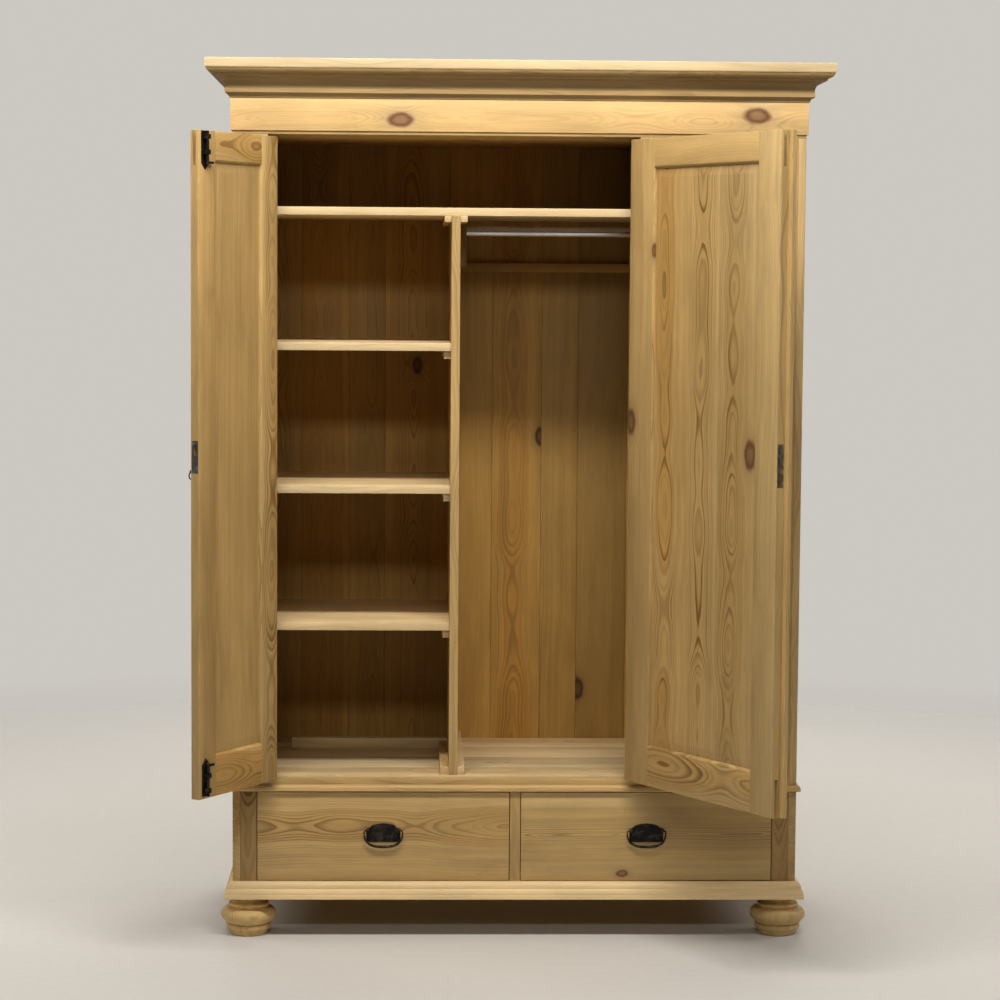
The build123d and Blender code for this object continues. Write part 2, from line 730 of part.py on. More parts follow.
ring_x = left_x[1] - ring_from_edge
ring_hinge_z = ring_z + ring_outer - ring_wire
ring_y = leaf_y[0] - ring_off
towards_door = Axis(left_leaf.origin, left_leaf.y_dir)
with BuildPart() as ring_plate:
    with BuildSketch(upright(left_leaf, leaf_y[0])):
        with Locations((ring_x, ring_hinge_z)):
            Circle(ring_plate_radius)
    extrude(amount=ring_plate_thickness)
    fillet(ring_plate.edges().filter_by(GeomType.CIRCLE).sort_by(towards_door)[0], radius=1)
    add(board((ring_x - ring_eye_width / 2, ring_x + ring_eye_width / 2),
              (ring_y - ring_eye, leaf_y[0] - ring_plate_thickness),
              (ring_hinge_z - ring_eye, ring_hinge_z + ring_eye), left_leaf, edge=0))
    with BuildSketch(across(left_leaf, ring_x - ring_eye_width)):
        with Locations((ring_y, ring_hinge_z)):
            Circle(ring_wire + ring_play)
    extrude(amount=2 * ring_eye_width, mode=Mode.SUBTRACT)

with BuildPart() as pull_ring:
    with BuildSketch(left_leaf.offset(ring_z)):
        with Locations((ring_x + ring_outer - ring_wire, ring_y)):
            Circle(ring_wire)
    revolve(axis=Axis(left_leaf.from_local_coords((ring_x, ring_y, ring_z)), left_leaf.y_dir))

# ==== lock leaf =====================================================================
lock_x = (-hinge_gap - lock_leaf_width, -hinge_gap)
lock_field_x = (lock_x[0] + lock_stile_width, lock_x[1] - lock_hinge_stile_width)
case_x = (lock_x[0] + faceplate_thickness, lock_x[0] + faceplate_thickness + case_depth)
case_y = (sum(leaf_y) / 2 - case_thickness / 2, sum(leaf_y) / 2 + case_thickness / 2)
case_z = (lock_z - case_height / 2, lock_z + case_height / 2)
face_x = (lock_x[0], lock_x[0] + faceplate_thickness)
face_z = (lock_z - faceplate_height / 2, lock_z + faceplate_height / 2)
key_x = lock_x[0] + key_setback
keyway_x = (key_x - key_bit_thickness / 2 - touch, key_x + key_bit_thickness / 2 + touch)
keyway_z = (lock_z - key_radius - key_bit_length - touch, lock_z)


def keyhole(y):
    """A round hole with the slot for the bit, cut between two depths of the lock leaf."""
    with BuildPart() as hole:
        with BuildSketch(upright(lock_leaf, y[0])):
            with Locations((key_x, lock_z)):
                Circle(key_radius + key_clearance)
            with Locations((key_x, sum(keyway_z) / 2)):
                Rectangle(keyway_x[1] - keyway_x[0], keyway_z[1] - keyway_z[0])
        extrude(amount=y[0] - y[1])
    return hole.part


with BuildPart() as lock_stiles:
    add(stile((lock_x[0], lock_field_x[0]), leaf_y, leaf_z, lock_leaf, 1))
    add(stile((lock_field_x[1], lock_x[1]), leaf_y, leaf_z, lock_leaf, -1))
    for z in ((leaf_z[1] - bolt_slot_height, leaf_z[1]), (leaf_z[0], leaf_z[0] + low_slot_height)):
        add(board((lock_x[0], lock_x[0] + bolt_slot_depth), slot_y, z, lock_leaf, edge=0),
            mode=Mode.SUBTRACT)
    add(board(face_x, strike_y, face_z, lock_leaf, edge=0), mode=Mode.SUBTRACT)
    add(board(case_x, case_y, case_z, lock_leaf, edge=0), mode=Mode.SUBTRACT)
    add(keyhole((leaf_y[0], case_y[0])), mode=Mode.SUBTRACT)
    for z in upper_halves:
        add(board(lock_plate_x, hinge_plate_y, z, lock_leaf, edge=0), mode=Mode.SUBTRACT)

with BuildPart() as lock_rails:
    add(rail(lock_field_x, leaf_y, (leaf_z[0], field_z[0]), lock_leaf, -1))
    add(rail(lock_field_x, leaf_y, (field_z[1], leaf_z[1]), lock_leaf, 0))

with BuildPart() as lock_panel:
    add(fielded_panel(lock_field_x, leaf_y, field_z, lock_leaf))

with BuildPart() as cover_strip:
    add(board((lock_x[0] - cover_lap, lock_x[0] - cover_lap + cover_width),
              (leaf_y[0] - cover_thickness - touch, leaf_y[0] - touch), leaf_z, lock_leaf, edge=0))
    outer = cover_strip.faces().sort_by(Axis(lock_leaf.origin, lock_leaf.y_dir))[0]
    fillet(outer.edges().filter_by(Axis.Z), radius=cover_round)
    add(board((lock_x[0] + touch, lock_x[0] - cover_lap + cover_width),
              (leaf_y[0] - 2 * touch, leaf_y[0]), leaf_z, lock_leaf, edge=0))

with BuildPart() as lock_case:
    add(board(face_x, strike_y, face_z, lock_leaf, edge=0))
    add(board(case_x, case_y, case_z, lock_leaf, edge=0))
    add(board((case_x[0], case_x[1] - case_wall), (case_y[0] + case_wall, case_y[1] - case_wall),
              (case_z[0] + case_wall, case_z[1] - case_wall), lock_leaf, edge=0),
        mode=Mode.SUBTRACT)
    add(board(face_x, latch_y, latch_z, lock_leaf, edge=0), mode=Mode.SUBTRACT)
    add(keyhole((case_y[0] - touch, case_y[0] + case_wall + touch)), mode=Mode.SUBTRACT)

with BuildPart() as lock_bolt:
    add(board((lock_x[0], lock_x[0] + latch_length),
              (latch_y[0] + touch, latch_y[1] - touch), latch_rest, lock_leaf, edge=0.5))

with BuildPart() as key_plate:
    with BuildSketch(upright(lock_leaf, leaf_y[0])):
        with Locations((key_x, lock_z - key_bit_length / 2)):
            Ellipse(escutcheon_width / 2, escutcheon_height / 2)
    extrude(amount=escutcheon_thickness)
    add(keyhole((leaf_y[0] - escutcheon_thickness - touch, leaf_y[0] + touch)), mode=Mode.SUBTRACT)

bit_y = (sum(leaf_y) / 2 - key_bit_height / 2, sum(leaf_y) / 2 + key_bit_height / 2)
with BuildPart() as key:
    with BuildSketch(upright(lock_leaf, bit_y[1])):
        with Locations((key_x, lock_z)):
            Circle(key_radius)
    extrude(amount=bit_y[1] - leaf_y[0] + key_out)
    add(board((key_x - key_bit_thickness / 2, key_x + key_bit_thickness / 2), bit_y,
              (lock_z - key_radius - key_bit_length, lock_z), lock_leaf, edge=0))
    with BuildSketch(across(lock_leaf, key_x)):
        with Locations((leaf_y[0] - key_out - key_bow_hole, lock_z)):
            Circle(key_bow_radius)
            Circle(key_bow_hole, mode=Mode.SUBTRACT)
    extrude(amount=key_bow_thickness / 2, both=True)

# ==== drawers =======================================================================
z_box = z_drawer + drawer_box_lift
box_z = (z_box, z_box + drawer_box_height)
bottom_z = (z_box + drawer_bottom_lift, z_box + drawer_bottom_lift + drawer_bottom_thickness)
front_x = (centre_post_width / 2 + drawer_gap, x_inner - post_width - drawer_gap)
box_x = (centre_post_width / 2 + drawer_play, x_inner - post_width - drawer_play)
box_y = (drawer_front_thickness, drawer_box_back)
drawer_middle = sum(front_x) / 2


def mirrored(x, hand):
    """The same stretch of X on the left (-1) or the right (+1)."""
    return tuple(sorted((hand * x[0], hand * x[1])))


def drawer_front(hand):
    return board(mirrored(front_x, hand), (0, drawer_front_thickness),
                 (z_drawer, z_drawer + drawer_height), edge=1.5)


def drawer_box(hand):
    """Two sides, a back and a bottom, behind the front."""
    inside = (box_x[0] + drawer_board, box_x[1] - drawer_board)
    between = (inside[0] + glue_line, inside[1] - glue_line)
    bottom_y = (box_y[0], box_y[1] - drawer_board - glue_line)
    with BuildPart() as box:
        add(board(mirrored((box_x[0], inside[0]), hand), box_y, box_z))
        add(board(mirrored((inside[1], box_x[1]), hand), box_y, box_z))
        add(board(mirrored(between, hand), (box_y[1] - drawer_board, box_y[1]), box_z))
        add(board(mirrored(between, hand), bottom_y, bottom_z, edge=0))
    return box.part


def handle_plate(hand):
    """A shaped back plate with an eye at each end for the bail."""
    middle = hand * drawer_middle
    top, shoulder, half = plate_height, plate_shoulder, plate_half_width
    with BuildPart() as plate:
        with BuildSketch(Plane((middle, 0, plate_low), x_dir=(1, 0, 0), z_dir=(0, -1, 0))):
            with BuildLine():
                Polyline((-half, shoulder), (-half, 3), (3 - half, 0), (half - 3, 0),
                         (half, 3), (half, shoulder))
                ThreePointArc((half, shoulder), (half - 8, shoulder + 2.5), (half - 13, top - 4))
                ThreePointArc((half - 13, top - 4), (0, top), (13 - half, top - 4))
                ThreePointArc((13 - half, top - 4), (8 - half, shoulder + 2.5), (-half, shoulder))
            make_face()
        extrude(amount=plate_thickness)
        for x in (middle - lug_x, middle + lug_x):
            add(board((x - lug_width / 2, x + lug_width / 2),
                      (-bail_off - lug_size / 2, -plate_thickness),
                      (bail_z - lug_size / 2, bail_z + lug_size / 2), edge=0))
        with BuildSketch(Plane.YZ.offset(middle - plate_half_width)):
            with Locations((-bail_off, bail_z)):
                Circle(bail_radius + bail_hole_clearance)
        extrude(amount=2 * plate_half_width, mode=Mode.SUBTRACT)
    return plate.part


def bail(hand):
    """A drop handle of round bar, its ends turned into the eyes of the plate."""
    middle = hand * drawer_middle
    pin_end = lug_x - lug_width / 2
    outline = [(-pin_end, 0), (-bail_half_width, 0), (-bail_half_width, bail_corner - bail_drop),
               (bail_corner - bail_half_width, -bail_drop),
               (bail_half_width - bail_corner, -bail_drop),
               (bail_half_width, bail_corner - bail_drop), (bail_half_width, 0), (pin_end, 0)]
    with BuildPart() as bar:
        with BuildLine(Plane((middle, -bail_off, bail_z), x_dir=(1, 0, 0), z_dir=(0, -1, 0))) as bend:
            FilletPolyline(*outline, radius=bail_bend)
        with BuildSketch(Plane((middle - pin_end, -bail_off, bail_z), z_dir=(-1, 0, 0))):
            Circle(bail_radius)
        sweep(path=bend.line)
    return bar.part


with BuildPart() as drawer_left_front:
    add(drawer_front(-1))

with BuildPart() as drawer_left_box:
    add(drawer_box(-1))

with BuildPart() as handle_left_plate:
    add(handle_plate(-1))

with BuildPart() as bail_left:
    add(bail(-1))

with BuildPart() as drawer_right_front:
    add(drawer_front(1))

with BuildPart() as drawer_right_box:
    add(drawer_box(1))

with BuildPart() as handle_right_plate:
    add(handle_plate(1))

with BuildPart() as bail_right:
    add(bail(1))

# ==== nodes =========================================================================
nodes = {
    "feet": feet, "base_sides": base_sides, "base_back": base_back, "base_bottom": base_bottom,
    "front_rails": front_rails, "front_posts": front_posts, "drawer_partition": drawer_partition,
    "drawer_runners": drawer_runners, "base_top": base_top, "base_moulding": base_moulding,
    "waist_moulding": waist_moulding, "side_left": side_left, "side_right": side_right,
    "front_stiles": front_stiles, "floor_boards": floor_boards, "cap_board": cap_board,
    "frieze": frieze, "cornice_moulding": cornice_moulding, "cornice_top": cornice_top,
    "back_boards": back_boards, "back_rails": back_rails, "top_shelf": top_shelf,
    "divider": divider, "shelves": shelves, "shelf_bearers": shelf_bearers, "cleats": cleats,
    "rail_blocks": rail_blocks, "hanging_rail": hanging_rail, "fixed_stiles": fixed_stiles,
    "fixed_rails": fixed_rails, "fixed_panel": fixed_panel, "carcass_hinges": carcass_hinges,
    "left_stiles": left_stiles, "left_rails": left_rails, "left_panel": left_panel,
    "left_hinges": left_hinges, "strike_plate": strike_plate, "bolt_plates": bolt_plates,
    "top_bolt": top_bolt, "bottom_bolt": bottom_bolt, "ring_plate": ring_plate,
    "pull_ring": pull_ring, "lock_stiles": lock_stiles, "lock_rails": lock_rails,
    "lock_panel": lock_panel, "lock_hinges": lock_hinges, "cover_strip": cover_strip,
    "lock_case": lock_case, "lock_bolt": lock_bolt, "key_plate": key_plate, "key": key,
    "drawer_left_front": drawer_left_front, "drawer_left_box": drawer_left_box,
    "handle_left_plate": handle_left_plate, "bail_left": bail_left,
    "drawer_right_front": drawer_right_front, "drawer_right_box": drawer_right_box,
    "handle_right_plate": handle_right_plate, "bail_right": bail_right,
}
for label, node in nodes.items():
    node.part.label = label
    export_step(node.part, f"parts/{label}.step")
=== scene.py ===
# The looks of a pine wardrobe: its boards, mouldings, turned feet and iron fittings.
# Metres: X to the right, Y back into the cabinet, Z up from the floor. The leaves and all that is on
# them are modelled as if closed, and are then swung open about their hinge pins.

import json
from contextlib import contextmanager
from math import atan2, cos, degrees, pi, radians, sin, sqrt
from random import Random

import bmesh
import bpy
import numpy as np
from mathutils import Matrix, Vector


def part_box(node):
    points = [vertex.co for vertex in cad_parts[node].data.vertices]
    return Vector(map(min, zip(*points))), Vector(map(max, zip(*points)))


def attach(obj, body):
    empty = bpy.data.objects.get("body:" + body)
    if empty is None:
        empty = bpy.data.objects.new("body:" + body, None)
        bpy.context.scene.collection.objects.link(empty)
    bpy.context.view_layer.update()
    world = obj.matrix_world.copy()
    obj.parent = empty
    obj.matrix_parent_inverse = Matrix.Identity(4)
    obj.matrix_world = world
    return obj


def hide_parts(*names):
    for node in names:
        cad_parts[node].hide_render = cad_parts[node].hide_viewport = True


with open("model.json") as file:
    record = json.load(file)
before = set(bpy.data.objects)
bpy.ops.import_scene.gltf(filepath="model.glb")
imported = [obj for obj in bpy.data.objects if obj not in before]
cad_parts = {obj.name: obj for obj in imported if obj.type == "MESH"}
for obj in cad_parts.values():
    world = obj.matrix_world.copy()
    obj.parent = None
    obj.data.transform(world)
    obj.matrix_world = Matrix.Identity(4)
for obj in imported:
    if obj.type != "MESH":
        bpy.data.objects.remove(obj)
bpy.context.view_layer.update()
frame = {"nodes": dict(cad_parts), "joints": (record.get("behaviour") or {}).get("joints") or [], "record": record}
chance = Random(11)
joints = {joint["name"]: joint for joint in frame["joints"]}

MM = 0.001
ARRIS = 1.2 * MM          # softened edge of a planed board
STRIP = 0.135             # wide boards are glued up from strips about this wide
SMOOTH = radians(35)
X, Y, Z = Vector((1, 0, 0)), Vector((0, 1, 0)), Vector((0, 0, 1))


def open_place(name):
    """The turn from where a leaf closes to where it stands open."""
    pin = Matrix.Translation(joints[name]["pos_m"])
    axis = Vector(joints[name]["axis"])
    return pin @ Matrix.Rotation(-radians(joints[name]["range_deg"][1]), 4, axis) @ pin.inverted()


LEAVES = {name: open_place(name) for name in ("left_door", "lock_door")}


def points_of(mesh):
    return np.array([v.co for v in mesh.vertices]).reshape(-1, 3)


def solids(node, leaf=None):
    """Lowest and highest corner of each separate solid of a node, measured as if its leaf were closed."""
    mesh = frame["nodes"][node].data
    points = points_of(mesh)
    if leaf:
        back = np.array(LEAVES[leaf].inverted())
        points = points @ back[:3, :3].T + back[:3, 3]
    spots, spot_of = np.unique(np.round(points, 5), axis=0, return_inverse=True)
    spot_of = spot_of.ravel()
    root = list(range(len(spots)))

    def find(i):
        while root[i] != i:
            root[i] = root[root[i]]
            i = root[i]
        return i

    for face in mesh.polygons:
        first, *rest = (spot_of[v] for v in face.vertices)
        for other in rest:
            root[find(other)] = find(first)
    groups = {}
    for i in range(len(spots)):
        groups.setdefault(find(i), []).append(spots[i])
    found = [(Vector(np.min(g, 0)), Vector(np.max(g, 0))) for g in groups.values()]
    return sorted(found, key=lambda c: tuple(round(v, 4) for v in (c[0] + c[1])))


# ---- modelling -----------------------------------------------------------------------

def clear():
    """Leaves edit mode and deselects everything."""
    if bpy.context.object and bpy.context.object.mode != "OBJECT":
        bpy.ops.object.mode_set(mode="OBJECT")
    bpy.ops.object.select_all(action="DESELECT")


def take(*pieces):
    """Selects these pieces alone, the last one active."""
    clear()
    for piece in pieces:
        piece.select_set(True)
        bpy.context.view_layer.objects.active = piece


@contextmanager
def editing(piece, kind="FACE"):
    """Edit mode with everything selected."""
    take(piece)
    bpy.ops.object.mode_set(mode="EDIT")
    bpy.ops.mesh.select_mode(type=kind)
    bpy.ops.mesh.select_all(action="SELECT")
    yield
    bpy.ops.object.mode_set(mode="OBJECT")


def pick(kind, test):
    """In edit mode, selects just the faces or edges that pass a test."""
    bpy.ops.mesh.select_mode(type=kind)
    bpy.ops.mesh.select_all(action="DESELECT")
    mesh = bmesh.from_edit_mesh(bpy.context.object.data)
    for item in (mesh.faces if kind == "FACE" else mesh.edges):
        if test(item):
            item.select_set(True)
    bmesh.update_edit_mesh(bpy.context.object.data)


def middle_of(edge):
    return (edge.verts[0].co + edge.verts[1].co) / 2


def runs_along(edge, axis):
    line = edge.verts[1].co - edge.verts[0].co
    return abs(line.normalized().dot(axis)) > 0.99


def edges_at(axis, place, along=None):
    """A test for edges that lie at a place on one axis and, if it is given, run along another."""
    def test(edge):
        return abs(middle_of(edge).dot(axis) - place) < 1e-5 and (along is None or runs_along(edge, along))
    return test


def named(name):
    piece = bpy.context.object
    bpy.ops.object.transform_apply(location=True, rotation=True, scale=True)
    piece.name = piece.data.name = name
    return piece


def block(name, low, high):
    """A cuboid between two corners."""
    clear()
    low, high = Vector(low), Vector(high)
    bpy.ops.mesh.primitive_cube_add(size=1, location=(low + high) / 2, scale=high - low)
    return named(name)


def soften(piece, width=ARRIS, segments=2, test=None):
    """Rounds all edges, or those that pass a test."""
    with editing(piece):
        if test:
            pick("EDGE", test)
        bpy.ops.mesh.bevel(offset=width, segments=segments, affect="EDGES", clamp_overlap=True)
    return piece


def trace(name, points):
    """A line of edges drawn from point to point."""
    clear()
    bpy.ops.mesh.primitive_plane_add(size=1, location=points[0])
    piece = named(name)
    with editing(piece, "VERT"):
        bpy.ops.mesh.merge(type="CENTER")
        for here, there in zip(points, points[1:]):
            bpy.ops.mesh.extrude_region_move(TRANSFORM_OT_translate={"value": there - here})
    return piece


def outline(name, points):
    """A closed flat outline, filled."""
    piece = trace(name, points)
    with editing(piece, "VERT"):
        bpy.ops.mesh.edge_face_add()
    return piece


def pull(piece, by):
    """Extrudes a flat outline into a closed solid."""
    with editing(piece):
        bpy.ops.mesh.extrude_region_move(TRANSFORM_OT_translate={"value": Vector(by)})
        bpy.ops.mesh.select_all(action="SELECT")
        bpy.ops.mesh.normals_make_consistent(inside=False)
    return piece


def turn(name, profile, foot, axis=Z, side=X, steps=48):
    """Turns a profile of (radius, height) points, in millimetres, about an axis through foot."""
    piece = trace(name, [foot + side * (r * MM) + axis * (h * MM) for r, h in profile])
    with editing(piece, "VERT"):
        bpy.ops.mesh.spin(steps=steps, angle=2 * pi, center=foot, axis=axis)
        bpy.ops.mesh.select_all(action="SELECT")
        bpy.ops.mesh.remove_doubles(threshold=0.00001)
        bpy.ops.mesh.normals_make_consistent(inside=False)
    return piece


def arc(centre, radius, first, last, steps):
    """Points along an arc, in degrees."""
    turns = [radians(first + (last - first) * i / steps) for i in range(steps + 1)]
    return [(centre[0] + radius * cos(t), centre[1] + radius * sin(t)) for t in turns]


def bend(start, middle, end, steps=5):
    """Points along the circle through three points, without the first."""
    (ax, ay), (bx, by), (cx, cy) = start, middle, end
    twice = 2 * (ax * (by - cy) + bx * (cy - ay) + cx * (ay - by))
    a, b, c = ax * ax + ay * ay, bx * bx + by * by, cx * cx + cy * cy
    centre = ((a * (by - cy) + b * (cy - ay) + c * (ay - by)) / twice,
              (a * (cx - bx) + b * (ax - cx) + c * (bx - ax)) / twice)
    first, half, last = (atan2(y - centre[1], x - centre[0]) for x, y in (start, middle, end))
    while half - first > pi:
        half -= 2 * pi
    while first - half > pi:
        half += 2 * pi
    while last - half > pi:
        last -= 2 * pi
    while half - last > pi:
        last += 2 * pi
    radius = sqrt((ax - centre[0]) ** 2 + (ay - centre[1]) ** 2)
    return arc(centre, radius, degrees(first), degrees(last), steps)[1:]


def carve(piece, tool):
    """Takes a tool's shape out of a piece, and the tool away."""
    take(piece)
    knife = piece.modifiers.new("cut", "BOOLEAN")
    knife.object, knife.operation, knife.solver = tool, "DIFFERENCE", "EXACT"
    bpy.ops.object.modifier_apply(modifier=knife.name)
    bpy.data.objects.remove(tool)


def cut(piece, *blocks):
    """Takes cuboids out of a piece."""
    for low, high in blocks:
        carve(piece, block("cutter", low, high))
    return piece


def slice_off(piece, point, normal):
    """Saws a piece through and keeps the side that the normal points away from."""
    with editing(piece):
        bpy.ops.mesh.bisect(plane_co=point, plane_no=normal, use_fill=True, clear_outer=True)
    return piece


def bore(piece, middle, radius, depth):
    """Bores an upright hole, its depth counted both ways from the middle."""
    clear()
    bpy.ops.mesh.primitive_cylinder_add(vertices=32, radius=radius, depth=2 * depth, location=middle)
    carve(piece, named("borer"))


def join(name, *pieces):
    """Makes several meshes one piece."""
    take(*pieces)
    bpy.ops.object.join()
    return named(name)


def copy_of(piece, name, by):
    """A copy with its own mesh, moved by a vector."""
    take(piece)
    bpy.ops.object.duplicate(linked=False)
    bpy.ops.transform.translate(value=by)
    return named(name)


def swing(piece, leaf):
    """Turns a piece that was modelled on a closed leaf to where the leaf stands open."""
    take(piece)
    piece.matrix_world = LEAVES[leaf]
    bpy.ops.object.transform_apply(location=True, rotation=True, scale=True)


# ---- grain -----------------------------------------------------------------------------

def write(piece, name, values):
    """Stores a vector for each face corner."""
    layer = piece.data.attributes.new(name, "FLOAT_VECTOR", "CORNER")
    layer.data.foreach_set("vector", np.asarray(values, np.float32).ravel())


def grow(piece, seams=None, along=None, shade=1.0, flat=0.5):
    """Gives each strip of a board its own place in a log: along the grain, across, and from the heart.

    seams are the glue lines across the board, and flat is the chance that a strip is cut to show arches."""
    mesh = piece.data
    points = points_of(mesh)
    low, high = points.min(0), points.max(0)
    order = [int(i) for i in np.argsort(low - high)]
    if along is not None:
        order.remove(along)
        order.insert(0, along)
    if seams is None:
        width = high[order[1]] - low[order[1]]
        count = max(1, round(width / STRIP))
        seams = [low[order[1]] + width * (i + chance.uniform(-0.15, 0.15)) / count
                 for i in range(1, count)]
    across = (X, Y, Z)[order[1]]
    for seam in seams:
        with editing(piece):
            bpy.ops.mesh.bisect(plane_co=across * float(seam), plane_no=across)
    points = points_of(mesh)
    middle = (low + high) / 2
    corners = np.array([loop.vertex_index for loop in mesh.loops])
    centres = np.array([face.center for face in mesh.polygons])[:, order[1]]
    counts = np.array([face.loop_total for face in mesh.polygons])
    lines = [low[order[1]], *seams, high[order[1]]]
    strip = np.repeat(np.clip(np.searchsorted(lines[1:-1], centres), 0, len(lines) - 2), counts)
    local = (points - middle)[corners][:, order]
    grain, tone, half = local.copy(), np.zeros_like(local), np.zeros_like(local)
    half[:] = ((high - low) / 2)[order]
    for number, (left, right) in enumerate(zip(lines, lines[1:])):
        here = strip == number
        width = right - left
        if chance.random() < flat:
            heart = chance.uniform(-0.15, 0.15) * width
            depth = chance.uniform(0.018, 0.04)
        else:
            heart = chance.choice((-1, 1)) * chance.uniform(0.9, 1.8) * max(width, 0.06)
            depth = chance.uniform(0.03, 0.07)
        grain[here, 0] += chance.uniform(0, 40)
        grain[here, 1] += middle[order[1]] - (left + right) / 2 + heart
        grain[here, 2] += depth
        # The first part of tone is the board's brightness: its shade, which on some boards is painted light and on
        # some painted shade, times a random strip tone.
        tone[here] = (shade * chance.uniform(0.9, 1.09), chance.random(), chance.random())
    write(piece, "grain", grain)
    write(piece, "local", local)
    write(piece, "half", half)
    write(piece, "tone", tone)
    return piece


# ---- materials ------------------------------------------------------------------------

class Finish:
    """A material and short ways to wire its nodes."""

    def __init__(self, name):
        self.material = bpy.data.materials.new(name)
        self.material.use_nodes = True
        self.tree = self.material.node_tree
        self.shader = self.tree.nodes["Principled BSDF"]

    def feed(self, socket, value):
        if isinstance(value, bpy.types.NodeSocket):
            self.tree.links.new(value, socket)
        elif value is not None:
            socket.default_value = value

    def node(self, kind, inputs=(), **settings):
        made = self.tree.nodes.new(kind)
        for name, value in settings.items():
            setattr(made, name, value)
        for key, value in dict(inputs).items():
            self.feed(made.inputs[key], value)
        return made

    def attribute(self, name):
        return self.node("ShaderNodeAttribute", attribute_name=name).outputs["Vector"]

    def split(self, vector):
        return self.node("ShaderNodeSeparateXYZ", {0: vector}).outputs

    def join(self, x, y, z=0.0):
        return self.node("ShaderNodeCombineXYZ", {0: x, 1: y, 2: z}).outputs[0]

    def sum(self, operation, a, b=0.0, c=0.0):
        return self.node("ShaderNodeMath", {0: a, 1: b, 2: c}, operation=operation).outputs[0]

    def times(self, a, b):
        return self.sum("MULTIPLY", a, b)

    def plus(self, a, b):
        return self.sum("ADD", a, b)

    def fade(self, value, start, end, low=0.0, high=1.0):
        """Goes smoothly from low at start to high at end."""
        inputs = {"Value": value, "From Min": start, "From Max": end, "To Min": low, "To Max": high}
        made = self.node("ShaderNodeMapRange", inputs, interpolation_type="SMOOTHSTEP")
        return made.outputs["Result"]

    def noise(self, vector, scale=1.0, detail=2.0, roughness=0.5, dimensions="3D"):
        inputs = {"Vector": vector, "Scale": scale, "Detail": detail, "Roughness": roughness}
        return self.node("ShaderNodeTexNoise", inputs, noise_dimensions=dimensions).outputs["Fac"]

    def mix(self, share, a, b, blend="MIX"):
        made = self.node("ShaderNodeMix", data_type="RGBA", blend_type=blend)
        self.feed(made.inputs[0], share)
        self.feed(made.inputs[6], a)
        self.feed(made.inputs[7], b)
        return made.outputs[2]

    def bump(self, height, strength, depth):
        inputs = {"Height": height, "Strength": strength, "Distance": depth}
        self.feed(self.shader.inputs["Normal"], self.node("ShaderNodeBump", inputs).outputs[0])

    def gloss(self, **sockets):
        for name, value in sockets.items():
            label = name.replace("_", " ").title().replace("Ior", "IOR")
            self.shader.inputs[label].default_value = value


def colour(red, green, blue):
    return (red, green, blue, 1.0)


def tinted(base, by):
    """A colour with each of its three parts scaled."""
    return colour(*(min(0.9, part * scale) for part, scale in zip(base, by)))


